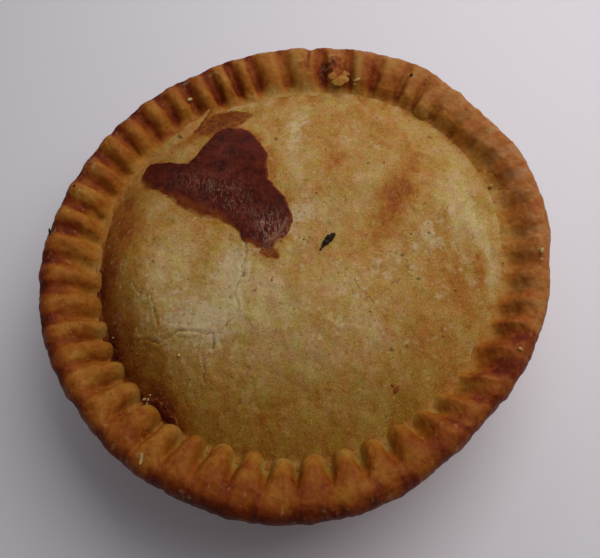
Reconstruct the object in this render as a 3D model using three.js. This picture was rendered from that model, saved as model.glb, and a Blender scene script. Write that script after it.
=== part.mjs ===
// A baked meat and potato pie, shut and whole: one solid, with a domed lid pressed onto a tapered
// case by a ring of crimps. Millimetres, +Z up. The pie stands on z = 0 with its middle over the
// origin. A heading goes round the pie in degrees: 0 is +X, the right, and 90 is +Y, the back.
import * as THREE from "three";

// Driving dimensions.
const RIM_RADIUS = 59.6; // outer edge of the crimped rim, the widest line of the pie
const RIM_EDGE_HEIGHT = 30; // height of that widest line
const CREST_HEIGHT = 33.6; // top of the ridges between the crimps
const NUB_HEIGHT = 30.6; // top of a ridge at its inner end, where it drops to the lid
const SEAM_RADIUS = 47.1; // where the lid runs in under the ridges
const SEAM_HEIGHT = 27.9; // bottom of the valley between lid and rim
const LID_TOP = 38; // highest point of the lid
const BASE_RADIUS = 42;
const WALL_TOP_RADIUS = 50.6; // top of the case's wall, under the rim
const WALL_TOP_HEIGHT = 24.8;
const RIM_THICKNESS = 6; // ridge top to the underside of the rim
const EDGE_ROUND = 2.4; // the rim's edge rolls under by this much
const FOOT_ROUND = 1.6; // round between base and wall

// Crimps: grooves pressed in from above with a toothed die.
const CRIMPS = 48;
const FIRST_GROOVE = -18.8; // heading of groove 0
const GROOVE_WANDER = 0.25; // how far a groove may sit off its place, degrees
const COLUMNS_PER_CRIMP = 5;
const CREST_SHARE = 0.7; // place of the crest on the way from seam (0) to edge (1)
const GROOVE_END = 0.86; // a scoop runs out into the smooth margin here
const GROOVE_DEPTH = 3.4; // at its inner end, where it is deepest
const GROOVE_FADE = 0.55; // below 1 a scoop stays deep for most of its length
const GROOVE_WIDTH = 0.85; // 1 is an even wave, less is a wide scoop between narrow ridges
const FOOT_SHARE = 0.36; // a ridge between scoops rises from the lid within this share

// At the front left the ridges are round fingers that reach in over the valley.
const TIP_SHARE = 0.17; // a finger's tip rounds over within this share
const TIP_REACH = 0.9; // how far it reaches past the seam
const TIP_WANDER = 0.5; // how far a ridge's inner end may sit off its place
const TIP_WIDTH = 0.78; // width of a finger, as a share of its crimp
const TIP_CURVE = 1.7; // above 1 the fingers stay broad further out, with a narrow dip between them
const NOTCH = 2.2; // how far out past the seam the notch between two fingers ends
const SCOOP_NOTCH = 0.7; // and a scoop
const RAMP_END = 0.74; // the notch ramps up from the valley and runs out here
const RAMP_CURVE = 1.8;

// How the hand-filled, oven-baked pie is out of true.
// Swells go all the way round: [times round, millimetres, heading of a peak].
const RIM_SWELLS = [
  [1, 0.9, -86],
  [2, 1.7, 53],
  [3, 0.5, 31],
  [4, 0.5, -4],
  [5, 0.3, -16],
];
const SEAM_SWELLS = [
  [1, 1.5, -75],
  [2, 1.2, 52],
  [3, 0.5, 16],
];
const VALLEY_SWELLS = [[1, 1.6, 80]]; // the valley is shallow at the back
// Places are local: [amount, heading, spread to each side].
const RIM_DENTS = [
  [-1.3, 32, 11], // millimetres
  [0.5, 20, 6],
  [0.4, 52, 8],
  [0.4, 100, 7],
  [0.6, 229, 8],
  [0.7, 321, 8],
  [-0.7, 350, 7],
  [-0.9, 80.5, 1.4], // a nick in the edge
];
const SEAM_DENTS = [
  [-2.1, 95, 28],
  [-0.8, 246, 12],
];
const VALLEY_DENTS = [
  [-1.2, 195, 26],
  [1.4, 275, 45],
  [1, 0, 40],
];
const GROOVE_DRIFTS = [
  [-1.6, -14, 9], // degrees
  [-1.3, -5, 6],
  [-1.2, 32, 9],
  [-2.4, 57, 11],
  [-1.3, 77, 6],
  [3.6, 93, 10],
  [2.2, 190, 15],
  [1.7, 228, 8],
  [-0.9, 268, 13],
  [-1.8, 287, 9],
  [0.9, 306, 12],
  [2.2, 324, 7],
];
const GROOVE_TURNS = [
  [-3.2, 78, 26], // degrees that the groove's inner end is turned off its radius
  [2.6, 162, 30],
  [-4, 313, 18],
  [1.5, 350, 14],
];
const SHALLOW_PLACES = [
  [-0.45, 10, 32], // share of the groove's depth
  [-0.25, 218, 34],
  [0.1, 100, 30],
];
const FINGER_PLACES = [[1.5, 250, 46]]; // above 1 counts as 1: full fingers
const SCOOP_PLACES = [
  [0.5, 0, 26], // above 0 a scoop is narrower: a crease at the right, with a broad ridge beside it
  [1.2, 34, 16],
  [1.2, 58, 16],
  [0.9, 84, 14],
  [0.45, 138, 36],
  [-0.3, 318, 20],
];
const FOOT_PLACES = [[0.4, 0, 36]]; // at the right the lid runs smoothly up onto the rim
const END_PLACES = [
  [0.1, 165, 45], // added to where a groove runs out
  [-0.26, 266, 22],
  [-0.08, 318, 30],
];
const LID_SWELLS = [
  // [millimetres, length of the swell, heading of its run, start]
  [0.45, 46, 20, 0.3],
  [0.4, 37, 75, 0.8],
  [0.3, 29, 140, 0.1],
];
const LID_FULLNESS = 3; // 2 is an even dome, 6 is flat-topped with a steep edge

const DEG = Math.PI / 180;
const COLUMNS = CRIMPS * COLUMNS_PER_CRIMP;

const mix = (a, b, share) => a + (b - a) * share;
const clamp = (value) => Math.min(1, Math.max(0, value));

/** 0 below low, 1 above high, and a smooth step between. */
function ease(low, high, value) {
  const share = clamp((value - low) / (high - low));
  return share * share * (3 - 2 * share);
}

/** A fixed, uneven number from 0 to 1 for crimp k. */
function jitter(k, kind) {
  const value = Math.sin(k * 12.9898 + kind * 78.233) * 43758.5453;
  return value - Math.floor(value);
}

/** 1 at a heading, falling off smoothly over the spread on both sides of it. */
function near(heading, centre, spread) {
  const away = ((((heading - centre) % 360) + 540) % 360) - 180;
  return Math.exp(-((away / spread) ** 2));
}

/** The sum of all swells at a heading. */
const swell = (heading, swells) =>
  swells.reduce((sum, [times, height, peak]) => sum + height * Math.cos(times * (heading - peak) * DEG), 0);

/** The sum of all local places at a heading. */
const local = (heading, places) =>
  places.reduce((sum, [amount, centre, spread]) => sum + amount * near(heading, centre, spread), 0);

const rimSwell = (heading) => swell(heading, RIM_SWELLS) + local(heading, RIM_DENTS);
const rimRadius = (heading) => RIM_RADIUS + rimSwell(heading);
const seamRadius = (heading) => SEAM_RADIUS + swell(heading, SEAM_SWELLS) + local(heading, SEAM_DENTS);
const seamHeight = (heading) => SEAM_HEIGHT + swell(heading, VALLEY_SWELLS) + local(heading, VALLEY_DENTS);

/** Heading of the bottom of groove k. */
function grooveHeading(k) {
  const even = FIRST_GROOVE + (k * 360) / CRIMPS;
  return even + local(even, GROOVE_DRIFTS) + GROOVE_WANDER * (2 * jitter(k % CRIMPS, 1) - 1);
}

/** Each crimp owns five columns of the mesh, the first in the bottom of its groove. */
function column(index) {
  const crimp = Math.floor(index / COLUMNS_PER_CRIMP);
  const across = (index % COLUMNS_PER_CRIMP) / COLUMNS_PER_CRIMP;
  const heading = mix(grooveHeading(crimp), grooveHeading(crimp + 1), across);
  return { heading, across, crimp: Math.round(crimp + across) % CRIMPS, ridge: crimp % CRIMPS };
}

/** 1 where the ridges are fingers, 0 where they are the ridges between scoops. */
const fingerShare = (heading) => clamp(local(heading, FINGER_PLACES));

/** Top of a ridge: a foot or a rounded tip, a slope up to the crest, and a rounded outer edge. */
function ridgeHeight(share, valley, heading) {
  if (share > CREST_SHARE) {
    const out = (share - CREST_SHARE) / (1 - CREST_SHARE);
    return mix(RIM_EDGE_HEIGHT, CREST_HEIGHT, Math.sqrt(1 - out * out));
  }
  const slope = mix(NUB_HEIGHT, CREST_HEIGHT, Math.sin((share / CREST_SHARE) * 90 * DEG));
  const back = 1 - clamp(share / TIP_SHARE);
  const foot = ease(0, FOOT_SHARE + local(heading, FOOT_PLACES), share);
  return mix(valley, slope, mix(foot, Math.sqrt(1 - back * back), fingerShare(heading)));
}

/** How far the die pressed a scoop below its ridges, or the ramp of the notch between two fingers. */
function grooveDepth(share, room, { heading, crimp }) {
  const strength = (1 + local(heading, SHALLOW_PLACES)) * mix(0.88, 1.1, jitter(crimp, 2));
  const longer = local(heading, END_PLACES);
  const left = clamp(1 - share / (GROOVE_END + longer));
  const pressed = GROOVE_DEPTH * strength * left ** GROOVE_FADE;
  const scooped = (pressed * room) / Math.max(pressed ** 4 + room ** 4, 1e-9) ** 0.25;
  const ramp = room * clamp(1 - share / (RAMP_END + longer)) ** RAMP_CURVE;
  return mix(scooped, ramp, fingerShare(heading));
}

/** The groove's cross-section, 1 in its bottom and 0 on the ridges: a wave, or what a round tip leaves. */
function grooveShape(share, { heading, across }) {
  const away = Math.abs(1 - 2 * across);
  const wave = 0.5 - 0.5 * Math.cos(away * 180 * DEG);
  const tip = 1 - Math.sqrt(1 - clamp(away / TIP_WIDTH) ** 2);
  const finger = mix(tip, wave ** TIP_CURVE, ease(0.1, 0.42, share));
  const scoop = wave ** (GROOVE_WIDTH + local(heading, SCOOP_PLACES));
  return mix(scoop, finger, fingerShare(heading));
}

/** How far a point of the crimp's inner end lies inside the seam; grooves end outside it. */
function innerReach(groove, { heading, across, ridge }) {
  const fingers = fingerShare(heading);
  const tip = (2 * jitter(ridge, 3) - 1) * TIP_WANDER + TIP_REACH * fingers;
  const pointed = mix(1, 0.5 + 0.5 * Math.abs(1 - 2 * across) ** 4, fingers);
  return mix(tip, -mix(SCOOP_NOTCH, NOTCH, fingers) * pointed, groove);
}

/** A point on the rim's upper side, share 0 at the seam and 1 at the edge. */
function rimPoint(share, spot) {
  const groove = grooveShape(share, spot);
  const reach = innerReach(groove, spot);
  const valley = seamHeight(spot.heading);
  const ridge = ridgeHeight(share, valley, spot.heading);
  const scallop = 0.4 * groove * share * near(spot.heading, 160, 55);
  return {
    radius: mix(seamRadius(spot.heading) - reach, rimRadius(spot.heading) - scallop, share),
    height: ridge - grooveDepth(share, ridge - valley, spot) * groove,
    heading: spot.heading + local(spot.heading, GROOVE_TURNS) * (1 - share),
  };
}

/** Slow rises and hollows of the lid at x, y. */
function lidSwell(x, y) {
  return LID_SWELLS.reduce((sum, [height, length, run, start]) => {
    const along = x * Math.cos(run * DEG) + y * Math.sin(run * DEG);
    return sum + height * Math.sin((along / length + start) * 360 * DEG);
  }, 0);
}

/** A point on the lid, share 0 in the middle and 1 at the seam, where it meets the uneven crimps. */
function lidPoint(share, spot) {
  const seam = rimPoint(0, spot);
  const heading = mix(spot.heading, seam.heading, share);
  const radius = share * mix(seamRadius(spot.heading), seam.radius, share ** 12);
  const fullness = LID_FULLNESS + 3 * near(heading, 190, 34) - 0.6 * near(heading, 275, 40);
  const dome = mix(seamHeight(spot.heading), LID_TOP, 1 - share ** fullness);
  const swelling = lidSwell(radius * Math.cos(heading * DEG), radius * Math.sin(heading * DEG));
  return { radius, height: dome + swelling * (1 - share ** 6), heading };
}

/** A point on the case, its underside or the rolled-under edge; it follows the rim's swells. */
function casePoint(radius, height, { heading }) {
  const lift = height / RIM_EDGE_HEIGHT;
  return { radius: radius + rimSwell(heading) * lift * (radius / RIM_RADIUS), height, heading };
}

// The section, from the middle of the base round the outside to the middle of the lid.
const UNDERSIDE = CREST_HEIGHT - RIM_THICKNESS;
const CASE_SECTION = [
  [0, 0],
  [BASE_RADIUS - FOOT_ROUND, 0],
  [BASE_RADIUS, FOOT_ROUND * 0.6],
  [mix(BASE_RADIUS, WALL_TOP_RADIUS, 0.52), WALL_TOP_HEIGHT * 0.5],
  [WALL_TOP_RADIUS, WALL_TOP_HEIGHT],
  [WALL_TOP_RADIUS + EDGE_ROUND, UNDERSIDE - 0.4],
  [RIM_RADIUS - EDGE_ROUND, UNDERSIDE],
];
const RIM_SHARES = [1, 0.95, 0.85, 0.7, 0.52, 0.32, 0.15, 0.04];
const LID_SHARES = [1, 0.93, 0.84, 0.7, 0.5, 0.26, 0];

/** The section as it would be turned on a wheel, before anything is pressed or swells. */
function wheelSection() {
  const rim = RIM_SHARES.map((share) => [
    mix(SEAM_RADIUS, RIM_RADIUS, share),
    ridgeHeight(share, SEAM_HEIGHT, 0),
  ]);
  const lid = LID_SHARES.map((share) => [
    SEAM_RADIUS * share,
    mix(SEAM_HEIGHT, LID_TOP, 1 - share ** LID_FULLNESS),
  ]);
  return [...CASE_SECTION, ...rim, ...lid].map(([radius, height]) => new THREE.Vector2(radius, height));
}

/** Where a point of the section goes on one column of the finished pie. */
function bakedPoint(row, spot) {
  if (row < CASE_SECTION.length) return casePoint(...CASE_SECTION[row], spot);
  const rimRow = row - CASE_SECTION.length;
  if (rimRow < RIM_SHARES.length) return rimPoint(RIM_SHARES[rimRow], spot);
  return lidPoint(LID_SHARES[rimRow - RIM_SHARES.length], spot);
}

/** The whole pie: the section spun round, then every point moved to its baked place. */
function pieGeometry() {
  const section = wheelSection();
  const geometry = new THREE.LatheGeometry(section, COLUMNS);
  const position = geometry.getAttribute("position");
  for (let index = 0; index < position.count; index += 1) {
    const spot = column(Math.floor(index / section.length) % COLUMNS);
    const { radius, height, heading } = bakedPoint(index % section.length, spot);
    position.setXYZ(index, radius * Math.cos(heading * DEG), radius * Math.sin(heading * DEG), height);
  }
  geometry.computeBoundingBox();
  const middle = geometry.boundingBox.getCenter(new THREE.Vector3());
  geometry.translate(-middle.x, -middle.y, 0);
  geometry.computeVertexNormals();
  return geometry;
}

/** Golden shortcrust pastry, dry and matt. */
function bakedPastry() {
  return new THREE.MeshStandardMaterial({ color: 0xc58f4a, roughness: 0.62, metalness: 0 });
}

const pie = new THREE.Mesh(pieGeometry(), bakedPastry());
pie.name = "pie";

const root = new THREE.Group();
root.add(pie);

export default root;
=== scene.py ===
import math
from dataclasses import dataclass

import bpy
import numpy as np
from mathutils import Matrix, Vector


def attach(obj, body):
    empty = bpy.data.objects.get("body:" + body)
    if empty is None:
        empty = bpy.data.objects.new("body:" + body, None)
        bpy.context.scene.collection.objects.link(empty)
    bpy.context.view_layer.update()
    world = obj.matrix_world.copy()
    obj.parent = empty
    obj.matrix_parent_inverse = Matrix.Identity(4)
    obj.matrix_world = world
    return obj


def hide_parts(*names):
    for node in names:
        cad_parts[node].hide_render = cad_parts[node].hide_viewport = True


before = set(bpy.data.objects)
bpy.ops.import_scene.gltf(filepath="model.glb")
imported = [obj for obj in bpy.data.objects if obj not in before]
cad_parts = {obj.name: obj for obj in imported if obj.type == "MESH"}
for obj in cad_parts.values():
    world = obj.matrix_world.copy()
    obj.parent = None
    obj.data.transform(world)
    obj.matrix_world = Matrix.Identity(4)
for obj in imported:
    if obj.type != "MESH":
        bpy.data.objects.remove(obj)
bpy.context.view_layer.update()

# A baked meat and potato pie. Shapes are worked out in millimetres in the pie's own frame: +Z up,
# the table at z = 0, and a heading that goes round in degrees, 0 to the right (+X), 90 to the back.
MM = 0.001

# ------------------------------------------------------------------ sizes of the pie, as in its solid
RIM_RADIUS = 59.6
RIM_EDGE_HEIGHT = 30
CREST_HEIGHT = 33.6
NUB_HEIGHT = 30.6
SEAM_RADIUS = 47.1
SEAM_HEIGHT = 27.9
LID_TOP = 38
BASE_RADIUS = 42
WALL_TOP_RADIUS = 50.6
WALL_TOP_HEIGHT = 24.8
RIM_UNDERSIDE = 27.6
EDGE_ROUND = 2.4
FOOT_ROUND = 1.6
CRIMPS = 48
FIRST_GROOVE = -18.8
GROOVE_WANDER = 0.25
CREST_SHARE = 0.7
TIP_SHARE = 0.17
FOOT_SHARE = 0.36
TIP_WANDER = 0.5
TIP_REACH = 0.9
TIP_WIDTH = 0.78
TIP_CURVE = 1.7
NOTCH = 2.2
SCOOP_NOTCH = 0.7
SCOOP_CURVE = 0.85
GROOVE_END = 0.86
GROOVE_DEPTH = 3.4
GROOVE_FADE = 0.55
GROOVE_STRENGTHS = (0.88, 1.1)
RAMP_END = 0.74
RAMP_CURVE = 1.8
LID_FULLNESS = 3
LID_FLUTE = 0.1
DIVE_SLOPE = 2

# Swells go all the way round: (times round, height, heading of a peak).
RIM_SWELLS = ((1, 0.9, -86), (2, 1.7, 53), (3, 0.5, 31), (4, 0.5, -4), (5, 0.3, -16))
SEAM_SWELLS = ((1, 1.5, -75), (2, 1.2, 52), (3, 0.5, 16))
VALLEY_SWELLS = ((1, 1.6, 80),)
# Places are local: (amount, heading, spread to each side).
RIM_DENTS = (
    (-1.3, 32, 11), (0.5, 20, 6), (0.4, 52, 8), (0.4, 100, 7), (0.6, 229, 8), (0.7, 321, 8),
    (-0.7, 350, 7), (-0.9, 80.5, 1.4),
)
SEAM_DENTS = ((-2.1, 95, 28), (-0.8, 246, 12))
VALLEY_DENTS = ((-1.2, 195, 26), (1.4, 275, 45), (1, 0, 40))
GROOVE_DRIFTS = (
    (-1.6, -14, 9), (-1.3, -5, 6), (-1.2, 32, 9), (-2.4, 57, 11), (-1.3, 77, 6), (3.6, 93, 10),
    (2.2, 190, 15), (1.7, 228, 8), (-0.9, 268, 13), (-1.8, 287, 9), (0.9, 306, 12), (2.2, 324, 7),
)
GROOVE_TURNS = ((-3.2, 78, 26), (2.6, 162, 30), (-4, 313, 18), (1.5, 350, 14))
SHALLOW_PLACES = ((-0.58, 6, 34), (-0.25, 218, 34), (0.1, 100, 30))
FINGER_PLACES = ((1.5, 250, 46),)
SCOOP_PLACES = (
    (0.5, 0, 26), (1.2, 34, 16), (1.2, 58, 16), (0.9, 84, 14), (0.45, 138, 36), (-0.3, 318, 20),
)
CREASED_ENDS = ((1.1, 168, 34), (0.6, 100, 20))
SCALLOP_PLACES = ((0.4, 160, 55),)
# Where the ridges' feet are longer or shorter, and where their inner ends stand higher, as lobes.
FOOT_PLACES = ((0.4, 0, 32), (-0.24, 40, 24))
NUB_PLACES = ((1.5, 36, 26),)
# Where the grooves are longer or shorter, and where they grow shallow evenly towards the edge.
END_PLACES = ((0.1, 165, 45), (-0.26, 266, 22), (-0.08, 318, 30))
FADE_PLACES = ((0.6, 34, 30),)
# Where the dome is fuller or flatter, and where the ridges' flutes show more on the lid.
FULLNESS_PLACES = ((3, 190, 34), (-0.6, 275, 40))
FLUTE_PLACES = ((0.3, 85, 30),)
# Slow rises and hollows of the lid: (height, length of the swell, heading of its run, start).
LID_SWELLS = ((0.45, 46, 20, 0.3), (0.4, 37, 75, 0.8), (0.3, 29, 140, 0.1))

# ------------------------------------------------------------------ how finely each piece is made
LID_CELLS = 306
RIM_COLUMNS_PER_CRIMP = 24
RIM_ROWS = 56
LIP_ROWS = 9
CASE_COLUMNS = 720
CASE_ROWS = 60
LEAK_GRID = (560, 84)
SPOT_GRID = (96, 20)
NUGGET_GRID = (9, 14)
SLIVER_GRID = (60, 20)
SCALE_GRID = (64, 16)


# ------------------------------------------------------------------ small helpers
def mix(a, b, share):
    """The value a given share of the way from a to b."""
    return a + (b - a) * share


def ease(low, high, value):
    """0 below low, 1 above high, and a smooth step between."""
    share = np.clip((value - low) / (high - low), 0, 1)
    return share * share * (3 - 2 * share)


def bell(away, spread):
    """1 where away is 0, falling off as a bell curve over the spread."""
    return np.exp(-((away / spread) ** 2))


def jitter(k, kind):
    """A fixed, uneven number from 0 to 1 for item k: what is left after the point of a scaled sine."""
    value = np.sin(k * 12.9898 + kind * 78.233) * 43758.5453
    return value - np.floor(value)


def near(heading, centre, spread):
    """1 at a heading, falling off as a bell curve on both sides of it."""
    return bell((heading - centre + 180) % 360 - 180, spread)


def swell(heading, swells):
    """The sum of cosines that go a whole number of times round the pie."""
    return sum(height * np.cos(np.radians(times * (heading - peak))) for times, height, peak in swells)


def local(heading, places):
    """The sum of bell curves, one at each place."""
    return sum(amount * near(heading, centre, spread) for amount, centre, spread in places)


def grain(points, size, seed):
    """Smooth uneven values from -1 to 1: random numbers on a cubic lattice that is size mm apart,
    turned off the axes, with an eased step from each number to the next."""
    cells = 40
    table = np.random.default_rng(seed).uniform(-1, 1, (cells, cells, cells))
    turn = np.array(Matrix.Rotation(0.7 + seed, 3, Vector((1, 2, 3)).normalized()))
    place = points @ turn.T / size + 1000
    whole = np.floor(place).astype(int)
    part = place - whole
    part = part * part * (3 - 2 * part)
    value = 0
    for corner in np.ndindex(2, 2, 2):
        index = (whole + corner) % cells
        weight = np.prod(np.where(corner, part, 1 - part), axis=-1)
        value = value + weight * table[index[..., 0], index[..., 1], index[..., 2]]
    return value


def layered(points, size, seed, layers=3):
    """Grain in layers, each half the size and half the strength of the one before."""
    return sum(grain(points, size / 2**n, seed + n) / 2**n for n in range(layers)) / 1.5


def sum_of(kind, points, *rows):
    """The sum of grains of a kind, plain or layered: (strength, size, seed)."""
    return sum(strength * kind(points, size, seed) for strength, size, seed in rows)


def flat_points(x, y):
    """Points on the level z = 0, for grain that is read from x and y alone."""
    return np.stack([x, y, np.zeros_like(x)], axis=-1)


def pushed(x, y, rows, reach=1):
    """x and y pushed to and fro by grain: (amount, size, seed for x, seed for y)."""
    here = flat_points(x, y)
    for amount, size, seed_x, seed_y in rows:
        x = x + amount * reach * grain(here, size, seed_x)
        y = y + amount * reach * grain(here, size, seed_y)
    return x, y


def heading_of(x, y):
    """The heading of x, y round the pie, in degrees."""
    return np.degrees(np.arctan2(y, x))


def at_heading(radius, heading, height):
    """Points from a radius, a heading in degrees and a height."""
    turn = np.radians(heading)
    return np.stack(np.broadcast_arrays(radius * np.cos(turn), radius * np.sin(turn), height), axis=-1)


def line_side(x, y, corners):
    """The distance to a line through the corners, less than 0 on its right side."""
    nearest = np.full(np.shape(x), 1e9)
    for (ax, ay), (bx, by) in zip(corners, corners[1:]):
        along = ((x - ax) * (bx - ax) + (y - ay) * (by - ay)) / ((bx - ax) ** 2 + (by - ay) ** 2)
        along = np.clip(along, 0, 1)
        away = np.hypot(x - mix(ax, bx, along), y - mix(ay, by, along))
        side = np.where((y - ay) * (bx - ax) > (x - ax) * (by - ay), away, -away)
        nearest = np.where(away < np.abs(nearest), side, nearest)
    return nearest


def along_and_across(x, y, middle_x, middle_y, run):
    """How far x, y lies from a middle along a heading, and how far to its left."""
    turn = math.radians(run)
    along = (x - middle_x) * math.cos(turn) + (y - middle_y) * math.sin(turn)
    across = (y - middle_y) * math.cos(turn) - (x - middle_x) * math.sin(turn)
    return along, across


def patch(x, y, places):
    """The sum of soft ovals: (amount, x, y, half length, half width, heading of the length)."""
    total = np.zeros(np.shape(x))
    for amount, px, py, length, width, run in places:
        along, across = along_and_across(x, y, px, py, run)
        total = total + amount * bell(along, length) * bell(across, width)
    return total


def band(share, heading, rows):
    """The sum of bands beside the rim: (amount, heading, spread, share where it starts, and where it
    is full)."""
    return sum(
        amount * near(heading, centre, spread) * ease(start, full, share)
        for amount, centre, spread, start, full in rows
    )


def oval(x, y, length, width, run, count):
    """Points round an oval: half length, half width, and the heading of its length."""
    turn = np.arange(count) * math.tau / count
    along, across = length * np.cos(turn), width * np.sin(turn)
    heading = math.radians(run)
    return np.stack([
        x + along * math.cos(heading) - across * math.sin(heading),
        y + along * math.sin(heading) + across * math.cos(heading),
    ], axis=-1)


def smooth_loop(corners, count):
    """A closed curve through the corners: count points, each a cubic blend of its four neighbours."""
    corners = np.asarray(corners, float)
    place = np.linspace(0, len(corners), count, endpoint=False)
    whole = place.astype(int)
    t = (place - whole)[:, None]
    a, b, c, d = (corners[(whole + step) % len(corners)] for step in (-1, 0, 1, 2))
    return b + 0.5 * t * (c - a + t * (2 * a - 5 * b + 4 * c - d + t * (3 * (b - c) + d - a)))


def smoothed(values, reach=6):
    """Each value as the mean of its neighbours up to reach places away."""
    window = 2 * reach + 1
    return np.convolve(np.pad(values, reach, "edge"), np.ones(window) / window, "valid")


# ------------------------------------------------------------------ the pie's form
def rim_swell(heading):
    """How far the rim bulges past a true circle."""
    return swell(heading, RIM_SWELLS) + local(heading, RIM_DENTS)


def swollen_ring(radius, height, heading):
    """A level ring that bulges as the rim does, less so lower down and further in."""
    lift = height / RIM_EDGE_HEIGHT * radius / RIM_RADIUS
    return at_heading(radius + rim_swell(heading) * lift, heading, height)


def seam_radius(heading):
    """Where the lid runs in under the crimps."""
    return SEAM_RADIUS + swell(heading, SEAM_SWELLS) + local(heading, SEAM_DENTS)


def seam_height(heading):
    """Height of the valley between lid and crimps."""
    return SEAM_HEIGHT + swell(heading, VALLEY_SWELLS) + local(heading, VALLEY_DENTS)


def groove_heading(k):
    """Heading of the bottom of groove k: an even step, a slow drift and a little wander."""
    even = FIRST_GROOVE + k * 360 / CRIMPS
    return even + local(even, GROOVE_DRIFTS) + GROOVE_WANDER * (2 * jitter(k % CRIMPS, 1) - 1)


GROOVES = groove_heading(np.arange(-CRIMPS, 2 * CRIMPS))


class Spot:
    """Headings round the rim, and where each is in its crimp."""

    def __init__(self, heading):
        place = np.interp(heading, GROOVES, np.arange(len(GROOVES)))
        crimp = np.floor(place).astype(int)
        self.heading = heading
        self.across = place - crimp
        self.crimp = np.round(place).astype(int) % CRIMPS
        self.ridge = crimp % CRIMPS


def rim_columns(per_crimp):
    """Headings of upright columns that share each crimp out evenly, from one groove to the next."""
    index = np.arange(CRIMPS * per_crimp)
    crimp, part = index // per_crimp, (index % per_crimp) / per_crimp
    return mix(groove_heading(crimp), groove_heading(crimp + 1), part)


def finger_share(heading):
    """1 where the ridges are round fingers that reach over the valley, and 0 where they run out on
    the lid."""
    return np.clip(local(heading, FINGER_PLACES), 0, 1)


def notch_length(heading):
    """How far out the grooves end past the seam."""
    return mix(SCOOP_NOTCH, NOTCH, finger_share(heading))


def ridge_height(share, valley, heading):
    """Top of a ridge from the seam (share 0) to the edge (1). A finger's tip is a quarter circle up from
    the valley, and elsewhere a ridge's foot is an eased step. Then it is a quarter sine up to the crest,
    and a quarter circle down to the edge."""
    out = np.clip((share - CREST_SHARE) / (1 - CREST_SHARE), 0, 1)
    fall = mix(RIM_EDGE_HEIGHT, CREST_HEIGHT, np.sqrt(1 - out**2))
    nub = NUB_HEIGHT + local(heading, NUB_PLACES)
    slope = mix(nub, CREST_HEIGHT, np.sin(np.clip(share / CREST_SHARE, 0, 1) * math.pi / 2))
    tip = np.sqrt(1 - (1 - np.clip(share / TIP_SHARE, 0, 1)) ** 2)
    foot = ease(0, FOOT_SHARE + local(heading, FOOT_PLACES), share)
    rise = mix(foot, tip, finger_share(heading))
    return np.where(share > CREST_SHARE, fall, mix(valley, slope, rise))


def groove_depth(share, room, spot):
    """How far the groove lies below its ridges. Scoops fade outwards and never pass the valley, and
    between fingers the groove is a ramp from the valley up to the crest."""
    strength = (1 + local(spot.heading, SHALLOW_PLACES)) * mix(*GROOVE_STRENGTHS, jitter(spot.crimp, 2))
    longer = local(spot.heading, END_PLACES)
    left = np.clip(1 - share / (GROOVE_END + longer), 0, 1)
    pressed = GROOVE_DEPTH * strength * left ** (GROOVE_FADE + local(spot.heading, FADE_PLACES))
    scooped = pressed * room / np.maximum(pressed**4 + room**4, 1e-9) ** 0.25
    ramp = room * np.clip(1 - share / (RAMP_END + longer), 0, 1) ** RAMP_CURVE
    return mix(scooped, ramp, finger_share(spot.heading))


def groove_shape(share, spot):
    """The groove's cross-section, 1 in its bottom and 0 on the ridges. Beside a finger's tip it is what
    a circle leaves out of its square, and further out it softens to a wave. Elsewhere it is a wide scoop
    between narrow ridges at the left and back, and a narrow crease between broad ones at the right."""
    away = np.abs(1 - 2 * spot.across)
    wave = 0.5 - 0.5 * np.cos(away * math.pi)
    tip = 1 - np.sqrt(1 - np.clip(away / TIP_WIDTH, 0, 1) ** 2)
    finger = mix(tip, wave**TIP_CURVE, ease(0.1, 0.42, share))
    narrow = SCOOP_CURVE + local(spot.heading, SCOOP_PLACES)
    narrow = narrow + local(spot.heading, CREASED_ENDS) * ease(0.55, 0.1, share)
    return mix(wave**narrow, finger, finger_share(spot.heading))


def rim_ends(share, spot):
    """Radius of the rim's inner end and outer edge. Fingers reach in over the valley, and the grooves
    end a notch further out, which is pointed between fingers."""
    groove = groove_shape(share, spot)
    fingers = finger_share(spot.heading)
    tip = (2 * jitter(spot.ridge, 3) - 1) * TIP_WANDER + TIP_REACH * fingers
    pointed = mix(1, 0.5 + 0.5 * np.abs(1 - 2 * spot.across) ** 4, fingers)
    reach = mix(tip, -notch_length(spot.heading) * pointed, groove)
    scallop = groove * share * local(spot.heading, SCALLOP_PLACES)
    return seam_radius(spot.heading) - reach, RIM_RADIUS + rim_swell(spot.heading) - scallop


def rim_rise(share, spot):
    """Height of the rim's upper side."""
    valley = seam_height(spot.heading)
    ridge = ridge_height(share, valley, spot.heading)
    return ridge - groove_depth(share, ridge - valley, spot) * groove_shape(share, spot)


def rim_surface(share, spot):
    """Points of the rim's upper side for a row of shares and all columns."""
    share = share[:, None]
    heading = spot.heading + local(spot.heading, GROOVE_TURNS) * (1 - share)
    return at_heading(mix(*rim_ends(share, spot), share), heading, rim_rise(share, spot))


def ridge_wave(heading):
    """0 at the grooves' headings and 1 at the ridges', as a wave."""
    return 0.5 - 0.5 * np.cos(Spot(heading % 360).across * math.tau)


def lid_height(x, y):
    """Height of the lid without its crust: a power dome from the seam to the top, with slow swells.
    Near the seam it takes on the ridges' flutes, and past their notches it dives under the crimps."""
    radius, heading = np.hypot(x, y), heading_of(x, y)
    share = radius / seam_radius(heading)
    inside = np.minimum(share, 1)
    fullness = LID_FULLNESS + local(heading, FULLNESS_PLACES)
    dome = mix(seam_height(heading), LID_TOP, 1 - inside**fullness)
    swelling = 0
    for height, length, run, start in LID_SWELLS:
        along, _ = along_and_across(x, y, 0, 0, run)
        swelling = swelling + height * np.sin((along / length + start) * math.tau)
    flute = ridge_wave(heading) * ease(0.9, 1, share) * (LID_FLUTE + local(heading, FLUTE_PLACES))
    dive = DIVE_SLOPE * np.maximum(radius - seam_radius(heading) - notch_length(heading), 0)
    return dome + swelling * (1 - inside**6) + flute - dive


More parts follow.
